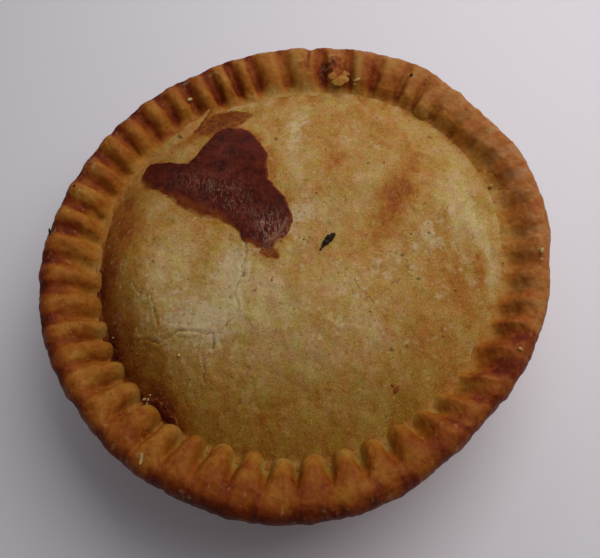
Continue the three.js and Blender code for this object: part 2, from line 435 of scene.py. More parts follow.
def crust_height(x, y):
    """Height of the crust under x, y: the lid, or the rim past its inner end, whose share and heading
    are found by trying again a few times."""
    radius, heading = np.hypot(x, y), heading_of(x, y)
    share, turned = np.full(np.shape(x), 0.5), heading
    for _ in range(8):
        spot = Spot(turned % 360)
        inner, outer = rim_ends(share, spot)
        share = np.clip((radius - inner) / (outer - inner), 0, 1)
        turned = heading - local(turned, GROOVE_TURNS) * (1 - share)
    return np.where(share > 0, rim_rise(share, spot), lid_height(x, y))


# ------------------------------------------------------------------ relief of the crust
# Grains that shape the crust: (height, size, seed).
CRUST_GRAINS = ((0.16, 8, 1), (0.1, 3.2, 2), (0.07, 1.3, 3), (0.05, 0.65, 4))
ROUGH_GRAINS = ((0.3, 1.1, 7), (0.22, 0.6, 8))
FLAKE_GRAINS = ((0.6, 1.1, 61), (0.6, 0.6, 62))
FLAKY_STEP = 0.07
RIM_STRENGTH = 1.5
RIM_LUMPS = (0.22, 4.5, 9)
# Rough, crumbly places of the rim: (amount, x, y, half length, half width, heading).
RIM_ROUGH = (
    (1.1, 14.4, 50.4, 3.4, 2.6, 80),
    (0.8, 7.2, 51.6, 3, 1.7, 85),
    (0.7, -45.2, 33.3, 3, 2, 120),
    (0.8, -47.6, 27, 3.2, 2.2, 140),
    (0.6, -49.5, 18.9, 3, 2.2, 160),
    (0.5, -53, 9, 3, 2, 170),
    (0.5, 55.5, -2, 6, 2.2, 90),
    (0.5, -38, -38, 8, 3, 135),
)
# Cracks: (corners, width, depth), and the grain that pushes them to and fro.
LID_CRACKS = (
    (((-10.6, -3.2), (-10.9, -5.4), (-11.8, -7.6), (-12, -10.8)), 0.22, 0.45),
    (((-19.6, -5.6), (-20, -8.4), (-20.3, -11.8)), 0.12, 0.2),
    (((-32.3, -11.6), (-31.7, -14.6), (-31.4, -19)), 0.14, 0.3),
    (((-36.4, -8), (-34.8, -10.8), (-33.9, -9.8)), 0.14, 0.25),
    (
        ((-36.2, -20.2), (-33, -21.8), (-29.6, -22.3), (-26.8, -21), (-24, -21.4), (-17.6, -22.6)),
        0.2, 0.35,
    ),
    (((-19, -22.8), (-19.8, -25.4), (-21.4, -27.6), (-21.8, -31.6)), 0.2, 0.4),
    (((-12, -10.8), (-13.6, -14.6), (-13.2, -18.2), (-16.4, -21.2)), 0.16, 0.25),
    (((19.6, -15.6), (21, -14.9), (22.4, -14.2)), 0.12, 0.15),
    (((12.2, -13.4), (13.2, -16.8), (15.6, -19.6)), 0.12, 0.15),
    (((7.6, -20.4), (7.9, -23.8)), 0.12, 0.15),
)
CRACK_WANDER = ((0.5, 1.6, 31, 32), (0.25, 0.7, 34, 35))
# A crack's lifted edge: its height as a share of the depth, then how far out and how wide it is, in
# widths of the crack. Where a grain is low, the crack has only the shallowest share of its depth.
LIP_HEIGHT = 0.5
LIP_AWAY = 4
LIP_WIDTH = 3
BREAK_GRAIN = (1.6, 33)
BREAK_STEP = (-0.5, 0.1)
SHALLOWEST = 0.3
# Dots where steam broke through: (x, y, half width, half length, depth, darkness).
LID_DOTS = (
    (-1.7, 26.5, 0.32, 0.5, 0.4, 1.0),
    (36.3, 25.4, 0.4, 0.35, 0.35, 1.0),
    (19.3, 16.1, 0.3, 0.3, 0.35, 1.0),
    (10.9, 19.1, 0.25, 0.4, 0.2, 0.6),
    (23.6, -8.7, 0.45, 0.35, 0.2, 0.7),
    (26.2, -14.4, 0.4, 0.35, 0.3, 0.9),
    (15.5, -11.7, 0.3, 0.35, 0.2, 0.6),
    (30.4, -3.6, 0.34, 0.3, 0.35, 1.0),
    (18, -29.5, 0.28, 0.28, 0.35, 1.0),
    (17, -32.4, 0.25, 0.3, 0.2, 0.6),
    (21.4, -15.1, 0.3, 0.3, 0.25, 0.7),
)


def crust_relief(points):
    """Relief of baked pastry in mm: slow dimples, blisters, flaky steps and a fine crumb."""
    steps = ease(-0.1, 0.05, grain(points, 4.5, 11)) + ease(0.1, 0.2, grain(points, 2.6, 12))
    return sum_of(grain, points, *CRUST_GRAINS) + FLAKY_STEP * steps


def flake_mark(points, amount):
    """Where thin flakes lift and stay pale: small ragged spots, more of them where the amount is
    high."""
    return ease(0.75, 1.05, sum_of(grain, points, *FLAKE_GRAINS) + amount)


def rim_roughness(points):
    """How rough and crumbly the rim is, from 0 to 1."""
    return np.clip(patch(points[..., 0], points[..., 1], RIM_ROUGH), 0, 1)


def rim_relief(points):
    """Relief of the rim's crust: stronger than the lid's, with broad lumps and rough places."""
    rough = rim_roughness(points) * sum_of(grain, points, *ROUGH_GRAINS)
    return RIM_STRENGTH * crust_relief(points) + sum_of(layered, points, RIM_LUMPS) + rough


def finished_height(x, y):
    """Height of the finished crust under x, y, with its relief."""
    height = crust_height(x, y)
    points = np.stack([x, y, height], axis=-1)
    on_lid = np.abs(height - lid_height(x, y)) < 1e-6
    return height + np.where(on_lid, crust_relief(flat_points(x, y)), rim_relief(points))


def lid_cracks(x, y):
    """Depth of the cracks: a sharp notch round each line, shallow in places, its edges lifted a little.
    Also the distance to the nearest crack, below 0 on its right."""
    wandered = pushed(x, y, CRACK_WANDER)
    notch = np.zeros(np.shape(x))
    lip = np.zeros(np.shape(x))
    nearest = np.full(np.shape(x), 1e9)
    for corners, width, depth in LID_CRACKS:
        side = line_side(*wandered, corners)
        away = np.abs(side)
        nearest = np.where(away < np.abs(nearest), side, nearest)
        notch = np.maximum(notch, depth * bell(away, width))
        lip = np.maximum(lip, LIP_HEIGHT * depth * bell(away - LIP_AWAY * width, LIP_WIDTH * width))
    whole = ease(*BREAK_STEP, grain(flat_points(x, y), *BREAK_GRAIN))
    return notch * mix(SHALLOWEST, 1, whole) - lip, nearest


def lid_dots(x, y):
    """Depth and darkness of the steam dots: small bell-shaped pits."""
    pit = np.zeros(np.shape(x))
    dark = np.zeros(np.shape(x))
    for px, py, width, length, depth, darkness in LID_DOTS:
        hollow = bell(x - px, width) * bell(y - py, length)
        pit = pit + depth * hollow
        dark = np.maximum(dark, darkness * hollow)
    return pit, dark


def lid_surface_height(x, y):
    """Height of the finished lid: the dome with its crust, cracks and dots."""
    notch, _ = lid_cracks(x, y)
    pit, _ = lid_dots(x, y)
    return lid_height(x, y) + crust_relief(flat_points(x, y)) - notch - pit


# ------------------------------------------------------------------ meshes from grids
def ring_quads(rows, columns, closed=False):
    """Quads of a grid of rows whose columns go all the way round; closed joins its last row to its
    first."""
    row = np.arange(rows if closed else rows - 1)[:, None]
    column = np.arange(columns)[None, :]
    below, above = row * columns, (row + 1) % rows * columns
    after = (column + 1) % columns
    corners = (below + column, below + after, above + after, above + column)
    return np.stack(np.broadcast_arrays(*corners), axis=-1).reshape(-1, 4)


def fan(ring, centre):
    """Triangles from a ring of vertices to one centre vertex."""
    return np.stack([ring, np.roll(ring, -1), np.full(len(ring), centre)], axis=-1)


def capped_faces(rows, columns):
    """Quads and triangles of a tube that is shut by two more vertices: the middle of its first row and
    the middle of its last."""
    first, last = np.arange(columns), (rows - 1) * columns + np.arange(columns)
    triangles = np.concatenate([fan(first[::-1], rows * columns), fan(last, rows * columns + 1)])
    return ring_quads(rows, columns), triangles


def pie_middle():
    """The middle of the box round the rim's outer edge, which stands over the frame's origin."""
    spot = Spot(rim_columns(RIM_COLUMNS_PER_CRIMP))
    edge = rim_surface(np.array([0.85, 0.9, 0.95, 1.0]), spot).reshape(-1, 3)
    return (edge.min(0) + edge.max(0)) / 2 * (1, 1, 0)


MIDDLE = pie_middle()


def add_piece(name, points, quads, triangles, marks, material, slot):
    """A closed mesh piece from points in millimetres, faces as vertex numbers, and marks, which are
    values for each vertex that the material reads."""
    mesh = bpy.data.meshes.new(name)
    places = (points.reshape(-1, 3) - MIDDLE) * MM
    mesh.from_pydata(places.tolist(), [], quads.tolist() + triangles.tolist())
    mesh.polygons.foreach_set("use_smooth", np.ones(len(mesh.polygons), bool))
    for mark, values in marks.items():
        layer = mesh.attributes.new(mark, "FLOAT", "POINT")
        layer.data.foreach_set("value", np.asarray(values, np.float32).ravel())
    mesh.materials.append(material)
    mesh.update()
    piece = bpy.data.objects.new(name, mesh)
    bpy.context.scene.collection.objects.link(piece)
    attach(piece, "root")
    return piece


def joined(parts):
    """Several sets of points, quads, triangles and marks as one."""
    points, quads, triangles, marks = zip(*parts)
    starts = np.cumsum([0] + [len(some) for some in points])
    return (
        np.concatenate(points),
        np.concatenate([some + start for some, start in zip(quads, starts)]),
        np.concatenate([some + start for some, start in zip(triangles, starts)]),
        {mark: np.concatenate([some[mark] for some in marks]) for mark in marks[0]},
    )


def push_out(points, amount, closed):
    """Moves the points of a ring grid along its normals, which come from its neighbours' directions."""
    along = np.roll(points, -1, axis=1) - np.roll(points, 1, axis=1)
    if closed:
        up = np.roll(points, -1, axis=0) - np.roll(points, 1, axis=0)
    else:
        up = np.gradient(points, axis=0)
    normal = np.cross(along, up)
    normal = normal / np.maximum(np.linalg.norm(normal, axis=-1, keepdims=True), 1e-9)
    return points + normal * amount[..., None]


# ------------------------------------------------------------------ lid
LID_OVERLAP = 0.9
SKIRT_SHRINK = 0.95
SKIRT_DROP = 2.4
UNDERSIDE_DROP = 4
LID_PALE = 0.27
# Soft ovals of stronger or weaker bake: (amount, x, y, half length, half width, heading).
LID_BAKE = (
    (0.36, 26, 9, 11, 3.4, 55),
    (0.32, -31.6, -35.4, 6, 3, 134),
    (0.3, -43, -21.3, 3.4, 2.4, 118),
    (0.1, 14, 26, 16, 10, 20),
    (0.14, 13.9, 16.4, 6, 4, 20),
    (0.26, 40.3, -12, 9, 1.7, 96),
    (-0.2, 43.4, -8, 12, 1.6, 97),
    (0.16, 34, -4, 9, 2.4, 100),
    (0.18, 36.2, -19, 7, 2.4, 100),
    (0.12, 4.4, -26.9, 7, 2, 92),
    (0.16, 19, -3.6, 8, 4, 40),
    (0.16, 26, -26, 11, 8, 120),
    (0.12, 31, -12, 10, 7, 90),
    (0.22, -38, 8, 12, 4, 100),
    (-0.1, -20, -19, 6, 3.4, 10),
    (0.04, -31, -24, 8, 5, 130),
    (0.06, 33, 22, 10, 5, 120),
    (-0.27, 38.5, 0, 9, 4.5, 90),
    (0.08, -33, 1, 7, 5, 100),
    (0.05, 2, 41, 9, 3, 0),
    (0.06, 22, 39, 16, 4, -20),
    (-0.12, -30, -3, 6, 5, 0),
    (-0.16, -17, -16, 9, 7, 0),
    (-0.1, -13.2, -7.3, 5, 4, 80),
    (-0.14, 29.7, -5.5, 3.4, 2.6, 0),
    (-0.12, -5, -20, 7, 6, 30),
    (-0.22, 2, 30, 7, 1.8, 80),
    (-0.22, 1.6, 18, 8, 1.5, 92),
    (-0.18, 4.5, 33.5, 6, 1.5, 50),
    (0.16, -14, 37, 7, 5, 15),
    (0.06, 6, 32, 26, 16, 0),
    (0.1, -20, 1, 5, 3, 150),
    (0.24, -22, 32.6, 5, 2.4, 40),
)
BAKE_WANDER = ((1.6, 5, 41, 42), (0.9, 1.8, 43, 44))
BAKE_GRAINS = ((0.085, 6, 51), (0.065, 1.4, 55))
BAKE_STREAKS = (0.08, 1.6, 54)
STREAK_SQUEEZE = 0.35
# Blotches: their size and seed, how they step, and what they add to the bake and the soaking.
BLOTCHES = (4.5, 58)
BLOTCH_STEP = (0.05, 0.3)
BLOTCH_BAKE = 0.04
BLOTCH_SOAK = 0.35
BLOTCH_CHALK = 0.6
# The brown line at the seam, the brown band beside the leak, the crust in the notches between the
# fingers, and the gravy's stains: what each adds to the bake or sets it to, and where.
SEAM_TONE = 0.06
SEAM_GRAIN = (0.14, 2.2, 46)
SEAM_ZONE = (0.98, 1.01)
FLUTE_MIDDLE = 0.4
LEAK_TONE = 0.2
LEAK_GRAIN = (0.16, 3, 47)
LEAK_BAND = 1.2
HAZE_BAND = 1.6
NOTCH_TONE = 0.42
NOTCH_GRAIN = (0.1, 1.2, 48)
NOTCH_START = (1.0, 1.02)
NOTCH_COVER = 0.7
NOTCH_DRY = 0.8
STAIN_TONE = 0.79
STAIN_GRAIN = (0.1, 1.6, 50)
STAIN_EDGE = (0.12, 0.7, 49)
STAIN_STEP = (0.34, 0.52)
STAIN_COVER = 0.92
STAIN_SOAK = 0.4
STAIN_CHALK = 1.2
STAIN_WANDER = 0.4
CHALK_GRAIN = (0.5, 3.2, 45)
# How many pale flakes lie everywhere, and how many fewer under the dark gold tint of soaking or painted
# shade.
FLAKES_EVERYWHERE = 0.15
FLAKES_LOST_TO_SHADE_AND_SOAK = 0.6
CRACK_REACH = 2
CRACK_BAND = 0.6
# Darker bands beside the rim, at the left and front where the lid's flank turns from the light, partly
# browner crust and partly painted shade: (amount, heading, spread, share where it starts, and where it
# is full).
LID_BAKE_AND_SHADE_BANDS = ((0.5, 190, 32, 0.76, 0.98), (0.2, 255, 50, 0.6, 0.96))
# Painted shade on the front flank, given as the dark gold tint.
PAINTED_SHADE_BANDS = ((1, 250, 62, 0.62, 0.94),)
PALE_FLUTES = ((-0.2, 78, 34, 0.9, 0.98),)
PALE_SEAM = ((0.8, 36, 30),)
DARK_NOTCHES = ((0.7, 208, 22),)
# Soft ovals that fat and gravy have soaked.
LID_STAINS = ((0.4, -14.2, 37, 6.6, 4.6, 15), (0.5, -5, -6.2, 3.2, 1.5, -10))
# Stains of gravy with a crisp edge: between the leak and the rim, and at the leak's tip.
GRAVY_STAIN = (
    (1, -16, 36, 6.2, 5.2, 20),
    (0.8, -11, 37, 3.2, 3.4, 80),
    (-0.8, -13, 44.2, 9, 1.9, 5),
    (0.8, -5, -5.7, 2.9, 1.5, -24),
)
# Soft ovals where thin pale flakes lift.
LID_FLAKES = (
    (0.6, -21, -20, 9, 4, 10),
    (0.5, -14, -24, 6, 3, 60),
    (0.35, -10, -14, 9, 7, 0),
    (0.3, 6, -22, 10, 8, 0),
    (0.35, 3, 27, 8, 3, 70),
    (0.3, 30, -30, 7, 4, 130),
)
# Soft ovals where the lid is pale and chalky, and where the crust beside the leak is hazy.
LID_CHALK = (
    (1.1, -13, -9, 6, 4, 80),
    (0.8, -20, -20, 9, 5, 10),
    (0.35, -28, -14, 8, 7, 40),
    (0.12, 2, -12, 7, 5, 30),
    (0.4, 4, 28, 8, 3, 80),
    (0.8, 2.6, 3.4, 4.4, 3, 60),
    (1.1, -12.6, 43.4, 6, 1.3, 4),
    (0.3, 30, -5, 5, 4, 0),
    (0.25, 28, 36, 9, 4, 150),
    (0.3, 24, -9, 12, 7, 20),
    (0.25, 16, 22, 10, 6, 30),
    (0.3, 14, -24, 9, 6, 10),
    (-0.3, 25, 8, 12, 5, 55),
    (-0.4, 0, -42, 40, 6, 0),
)
LEAK_HAZE = ((1.0, 0.8, 0.4, 4.5, 2.6, 60), (0.4, -6, -5, 3, 2, 20))


def disc_grid(cells):
    """A square grid drawn onto a disc: the distance from the middle is the larger of |u| and |v|, and
    the heading turns an eighth of a circle over each half side. Gives share and heading."""
    u, v = np.meshgrid(np.linspace(-1, 1, cells + 1), np.linspace(-1, 1, cells + 1))
    sideways = np.abs(u) > np.abs(v)
    share = np.where(sideways, np.abs(u), np.abs(v))
    with np.errstate(divide="ignore", invalid="ignore"):
        turn = np.where(sideways, 45 * v / u, 90 - 45 * u / v)
    turn = np.where(share > 0, turn, 0)
    heading = np.where(sideways, turn + 180 * (u < 0), turn + 180 * (v < 0))
    return share, heading


def square_border(cells):
    """Vertex numbers round the border of a square grid, anticlockwise from above."""
    across = np.arange(cells)
    side = cells + 1
    return np.concatenate([
        across, cells + across * side, cells * side + cells - across, (cells - across) * side,
    ])


def lid_bake(x, y, wandered, share, blotch):
    """Bake of the lid's crust: soft ovals, uneven grain, blotches, streaks along the lid, and darker
    bands beside the rim, which are partly browner crust and partly painted shade."""
    here = flat_points(x, y)
    bake = LID_PALE + patch(*wandered, LID_BAKE) + band(share, heading_of(x, y), LID_BAKE_AND_SHADE_BANDS)
    bake = bake + sum_of(layered, here, *BAKE_GRAINS) + BLOTCH_BAKE * blotch
    return bake + sum_of(grain, flat_points(x, y * STREAK_SQUEEZE), BAKE_STREAKS)


def seam_bake(here, share, heading):
    """What the seam adds to the bake: an uneven brown line, and paler flutes at the back."""
    line = ease(*SEAM_ZONE, share) * (SEAM_TONE + sum_of(grain, here, SEAM_GRAIN))
    flutes = band(share, heading, PALE_FLUTES) * (ridge_wave(heading) - FLUTE_MIDDLE)
    return line * (1 - local(heading, PALE_SEAM)) + flutes


def gravy_stain(x, y, wandered):
    """Where gravy stains the lid: 1 inside the stains, whose edges are narrow and ragged."""
    pushed_less = (mix(plain, moved, STAIN_WANDER) for plain, moved in zip((x, y), wandered))
    ragged = patch(*pushed_less, GRAVY_STAIN) + sum_of(grain, flat_points(x, y), STAIN_EDGE)
    return ease(*STAIN_STEP, ragged)


def lid_marks(x, y):
    """How the lid is baked: bake from 0, pale, to 1, dark; flake where thin flakes stay pale; a dark
    gold tint where fat and gravy soaked the crust, and as painted shade on the front flank; burnt in the
    dots; and where it is chalky or cracked."""
    here = flat_points(x, y)
    wandered = pushed(x, y, BAKE_WANDER)
    heading = heading_of(x, y)
    share = np.hypot(x, y) / seam_radius(heading)
    leak = line_side(*wandered, (*LEAK_EDGE, LEAK_EDGE[0]))
    chalk = patch(x, y, LID_CHALK)
    blotch = ease(*BLOTCH_STEP, layered(here, *BLOTCHES)) * (1 - BLOTCH_CHALK * chalk)
    notch = ease(*NOTCH_START, share) * finger_share(heading) * (1 - local(heading, DARK_NOTCHES))
    stain = gravy_stain(x, y, wandered)
    bake = lid_bake(x, y, wandered, share, blotch) + seam_bake(here, share, heading)
    bake = bake + (LEAK_TONE + sum_of(grain, here, LEAK_GRAIN)) * bell(leak, LEAK_BAND)
    bake = mix(bake, NOTCH_TONE + sum_of(grain, here, NOTCH_GRAIN), NOTCH_COVER * notch)
    bake = mix(bake, STAIN_TONE + sum_of(layered, here, STAIN_GRAIN), STAIN_COVER * stain)
    # The dark gold tint: painted shade on the front flank, less in the notches, and crust soaked by fat
    # and gravy.
    shade_and_soak = band(share, heading, PAINTED_SHADE_BANDS) * (1 - NOTCH_DRY * notch) + patch(*wandered, LID_STAINS)
    shade_and_soak = shade_and_soak + BLOTCH_SOAK * blotch + STAIN_SOAK * stain
    flaky = FLAKES_EVERYWHERE + patch(x, y, LID_FLAKES) - FLAKES_LOST_TO_SHADE_AND_SOAK * shade_and_soak - stain
    haze = patch(x, y, LEAK_HAZE) * bell(leak, HAZE_BAND)
    _, crack = lid_cracks(x, y)
    _, dark = lid_dots(x, y)
    return {
        "bake": bake,
        "flake": flake_mark(here, flaky),
        "shade_and_soak": np.clip(shade_and_soak, 0, 1),
        "burnt": dark,
        "chalk mark": chalk + sum_of(layered, here, CHALK_GRAIN) + haze - STAIN_CHALK * stain,
        "crack side": np.clip(crack, -CRACK_REACH, CRACK_REACH),
        "crack near": bell(crack, CRACK_BAND),
    }


def make_lid(material):
    """The domed lid: the disc grid laid over the dome and out under the crimps, then a skirt that
    turns in and down, and a hidden underside."""
    share, heading = disc_grid(LID_CELLS)
    radius = share * (seam_radius(heading) + notch_length(heading) + LID_OVERLAP)
    x, y = radius * np.cos(np.radians(heading)), radius * np.sin(np.radians(heading))
    top = np.stack([x, y, lid_surface_height(x, y)], axis=-1).reshape(-1, 3)
    border = square_border(LID_CELLS)
    skirt = top[border] * (SKIRT_SHRINK, SKIRT_SHRINK, 1) - (0, 0, SKIRT_DROP)
    points = np.concatenate([top, skirt, [[0, 0, WALL_TOP_HEIGHT - UNDERSIDE_DROP]]])
    side = LID_CELLS + 1
    corner = (np.arange(LID_CELLS)[:, None] * side + np.arange(LID_CELLS)).ravel()
    quads = np.stack([corner, corner + 1, corner + side + 1, corner + side], axis=-1)
    lower = len(top) + np.arange(len(border))
    walls = np.stack([border, lower, np.roll(lower, -1), np.roll(border, -1)], axis=-1)
    quads = np.concatenate([quads, walls])
    underside = fan(lower[::-1], len(points) - 1)
    hidden = np.zeros(len(border) + 1)
    marks = {mark: np.concatenate([values.ravel(), hidden]) for mark, values in lid_marks(x, y).items()}
    return add_piece("pie_lid", points, quads, underside, marks, material, "pastry")


# ------------------------------------------------------------------ rim
# The hidden rows inside the lid: (how far in, how far down). Those under the rim: (radius, height).
RIM_START = ((3.5, 4.0), (1.6, 2.2), (0.7, 0.9))
RIM_UNDER = ((55.6, 27.5), (54, 27.35), (52.6, 27.5), (50.5, 27.2), (47.5, 24.5))
ROW_CROWDING = 1.3
OUTER_GRAIN = (0.14, 2, 6)
# How strongly the rim is baked, by place: (amount, heading, spread).
RIDGE_BAKE = (
    (-0.06, 0, 34), (0.05, 26, 14), (-0.08, 52, 26), (-0.04, 92, 14), (-0.07, 172, 24), (0.05, 272, 40),
    (0.11, 318, 12), (-0.03, 338, 10),
)
# Where the grooves' floors darken: partly browner crust, partly painted shade in the grooves.
GROOVE_BAKE_AND_SHADE = ((-0.2, 24, 22), (0.13, 66, 14), (0.2, 108, 22), (0.21, 172, 28), (0.1, 314, 16))
# Where the grooves' inner ends stay golden: less baked, and lightened further as painted light against
# the shade in the grooves.
GOLD_ENDS = ((0.95, 170, 34), (0.9, 320, 28))
# Where the creases at the right back are darkened as painted shade.
CREASE_SHADE = ((0.5, 45, 25),)
# The outer margin darkens at the left and front and pales at the right: partly browner crust, partly
# painted shade on the lip turned from the light.
MARGIN_BAKE_AND_SHADE = ((0.26, 245, 52), (0.16, 130, 34), (0.14, 186, 24), (-0.08, 345, 36), (-0.06, 60, 30))
FOOT_BAKE = ((-0.1, 0, 30), (0.05, 48, 14), (-0.22, 88, 24), (-0.04, 318, 22))
SIDE_BAKE = ((-0.07, 325, 30), (0.1, 70, 18))
# Where a sheen is painted on the rim, at the right.
SHEEN_PLACES = ((1, 10, 56),)
# Where painted shade lies in the front grooves, given as the dark gold tint.
SHADED_RIM_PLACES = ((1, 264, 46),)
# Soft ovals of stronger bake on the rim: (amount, x, y, half length, half width, heading).
RIM_STAINS = (
    (0.3, 13.4, 50.4, 2.6, 1.8, 30),
    (0.35, 9.2, 54.4, 3.4, 0.4, 82),
    (0.2, 7.4, 51.4, 3, 1.2, 84),
    (-0.17, 45.5, 23, 5, 2.8, 117),
)
# Tones of the ridges and of the grooves' floors over them, and how much each varies by chance.
RIDGE_TONE = 0.62
RIDGE_CHANCE = 0.09
FLOOR_TONE = 0.06
FLOOR_CHANCE = 0.1
RIM_GRAINS = ((0.11, 5, 51), (0.08, 1.8, 55))
RIM_STREAKS = (0.05, 0.8, 57)
STREAK_LENGTH = 4
# How much paler the feet, the gold ends (painted light against the grooves' shade), the notches and the
# fingers' tips are.
FEET_PALER = 0.06
GOLD_ENDS_PAINTED_LIGHT = 0.1
NOTCH_PALER = 0.12
TIPS_PALER = 0.22
# How much the painted shade in the creases darkens the bake, and how much the rough places add.
CREASE_SHADE_DARKNESS = 0.45
ROUGH_BAKE = 0.3
# Zones across the rim: the share where each starts, and the share where it is full.
RELIEF_ZONE = (0.01, 0.08)
GRAINY_ZONE = (0.3, 0.7)
GOLD_ZONE = (0.55, 0.25)
FLOOR_ZONE = (0.02, 0.26)
MARGIN_ZONE = (0.62, 1)
FEET_ZONE = (0.3, 0)
NOTCH_ZONE = (0.34, 0.08)
TIPS_ZONE = (0.26, 0)
SIDE_START = (0.02, 0.3)
SIDE_END = (0.95, 0.5)
CREASE_START = (-0.02, 0.04)
CREASE_END = (0.55, 0.15)
FLAKY_ZONE = (0.4, 0.8)
SHEEN_ZONE = (0.12, 0.5)
# The groove's cross-section read as a step: its floor, its notch and its crease.
FLOOR_STEP = (0.15, 0.9)
NOTCH_STEP = (0.3, 0.9)
CREASE_STEP = (0.4, 0.95)


def rim_section(spot):
    """The rim's closed section, carried round every column: it starts inside the lid, runs over the
    crimp to the edge, round under it and back in through the pastry. Gives points and shares."""
    share = np.linspace(0, 1, RIM_ROWS) ** ROW_CROWDING
    top = rim_surface(share, spot)
    first, last = top[0], top[-1]
    inward = first * (1, 1, 0) / np.linalg.norm(first[:, :2], axis=-1, keepdims=True)
    rows = [first - inward * back - (0, 0, drop) for back, drop in RIM_START]
    rows.extend(top)
    edge = np.hypot(last[:, 0], last[:, 1])
    for turn in np.radians(np.linspace(0, 90, LIP_ROWS)[1:]):
        back = EDGE_ROUND * (1 - math.cos(turn))
        down = (RIM_EDGE_HEIGHT - RIM_UNDERSIDE) * math.sin(turn)
        rows.append(at_heading(edge - back, spot.heading, RIM_EDGE_HEIGHT - down))
    rows.extend(swollen_ring(radius, height, spot.heading) for radius, height in RIM_UNDER)
    hidden = len(rows) - len(RIM_START) - RIM_ROWS
    shares = np.concatenate([np.zeros(len(RIM_START)), share, np.ones(hidden)])
    return np.stack(rows), shares[:, None]


def rim_bake(points, share, groove, spot):
    """How the rim is baked, from 0, pale, to 1, dark: golden ridges, dark grooves and margin, and pale
    feet. The grooves' and the margin's darkness is partly painted shade, and the grooves' golden inner
    ends are partly painted light. Between the fingers the grooves' inner ends are hardly baked."""
    heading = spot.heading
    bake = RIDGE_TONE + local(heading, RIDGE_BAKE) + RIDGE_CHANCE * (jitter(spot.ridge, 4) - 0.5)
    # The grooves' floors: partly browner crust, partly painted shade; their golden inner ends are less
    # baked and partly painted light.
    floor = FLOOR_TONE + local(heading, GROOVE_BAKE_AND_SHADE) + FLOOR_CHANCE * (jitter(spot.crimp, 5) - 0.5)
    gold = local(heading, GOLD_ENDS) * ease(*GOLD_ZONE, share)
    floor = floor * ease(*FLOOR_ZONE, share) * (1 - gold) - GOLD_ENDS_PAINTED_LIGHT * gold
    bake = bake + ease(*FLOOR_STEP, groove) * floor
    # The margin's darkness is partly painted shade.
    bake = bake + ease(*MARGIN_ZONE, share) * local(heading, MARGIN_BAKE_AND_SHADE)
    bake = bake + ease(*FEET_ZONE, share) * (local(heading, FOOT_BAKE) - FEET_PALER)
    bake = bake + patch(points[..., 0], points[..., 1], RIM_STAINS)
    notch = ease(*NOTCH_ZONE, share) * ease(*NOTCH_STEP, groove) * (1 - local(heading, DARK_NOTCHES))
    tips = ease(*TIPS_ZONE, share) * (0.7 + 0.6 * grain(points, 3, 68))
    bake = bake - finger_share(heading) * (NOTCH_PALER * notch + TIPS_PALER * tips)
    side = np.sin(spot.across * math.tau) * ease(*SIDE_START, share) * ease(*SIDE_END, share)
    bake = bake + side * local(heading, SIDE_BAKE)
    outward = np.stack(np.broadcast_arrays(heading, STREAK_LENGTH * share, 0), axis=-1)
    return bake + sum_of(layered, points, *RIM_GRAINS) + sum_of(grain, outward, RIM_STREAKS)


def rim_marks(points, share, spot):
    """The rim's bake, its pale flakes, painted shade in its creases at the right back and char in its
    rough places, a painted sheen at the right, and painted shade in the front grooves as the dark gold
    tint."""
    groove = groove_shape(share, spot)
    rough = rim_roughness(points)
    # Painted shade in the creases at the right back, for the bake and the char mark.
    crease = ease(*CREASE_STEP, groove) * ease(*CREASE_START, share) * ease(*CREASE_END, share)
    crease = crease * local(spot.heading, CREASE_SHADE) * (0.7 + 0.5 * layered(points, 2, 10))
    crumbly = ROUGH_BAKE * rough * layered(points, 1, 67)
    # Painted shade in the front grooves, deepest at their inner ends.
    groove_shade = 0.4 + 0.4 * ease(*NOTCH_ZONE, share) * groove
    return {
        "bake": rim_bake(points, share, groove, spot) + crumbly + CREASE_SHADE_DARKNESS * crease,
        "flake": flake_mark(points, 0.1 + 0.6 * rough + 0.2 * ease(*FLAKY_ZONE, share)),
        "burnt": 0.5 * ease(0.5, 1, rough * (0.6 + layered(points, 0.8, 66))) + crease,
        "painted_sheen": local(spot.heading, SHEEN_PLACES) * ease(*SHEEN_ZONE, share),
        "shade_and_soak": local(spot.heading, SHADED_RIM_PLACES) * groove_shade,
    }


def make_rim(material):
    """The crimped rim, with its crust's relief pushed out along its normals."""
    spot = Spot(rim_columns(RIM_COLUMNS_PER_CRIMP))
    points, share = rim_section(spot)
    relief = rim_relief(points) + sum_of(grain, points, OUTER_GRAIN) * ease(*GRAINY_ZONE, share)
    points = push_out(points, relief * ease(*RELIEF_ZONE, share), True)
    quads = ring_quads(*points.shape[:2], closed=True)[:, ::-1]
    marks = rim_marks(points, share, spot)
    return add_piece("pie_rim", points, quads, np.zeros((0, 3), int), marks, material, "pastry")


# ------------------------------------------------------------------ case
# The section under and above the wall: (radius, height).
CASE_FOOT = (
    (BASE_RADIUS * 0.03, 0), (BASE_RADIUS * 0.5, 0), (BASE_RADIUS - FOOT_ROUND, 0),
    (BASE_RADIUS - FOOT_ROUND * 0.3, FOOT_ROUND * 0.25), (BASE_RADIUS, FOOT_ROUND * 0.6),
)
CASE_TOP = ((51.6, 26), (52.6, 27.1), (53, 28), (50, 27.4), (46, 23.5), (2, 23.5))
FLAT_ROWS = 3
CASE_RELIEF = 0.8
# Heights where the case's relief starts and ends, and where it is browner at the top and paler below.
CASE_RELIEF_START = (0.5, 2)
CASE_RELIEF_END = (30, 27)
CASE_TOP_ZONE = (14, 25)
CASE_FOOT_ZONE = (6, 0)
CASE_TONE = 0.42
CASE_GRAIN = (0.12, 7, 71)
CASE_TOP_BAKE = 0.15
CASE_FOOT_BAKE = -0.1
CASE_MIDDLE_BAKE = 0.4
CASE_FLAKES = 0.1


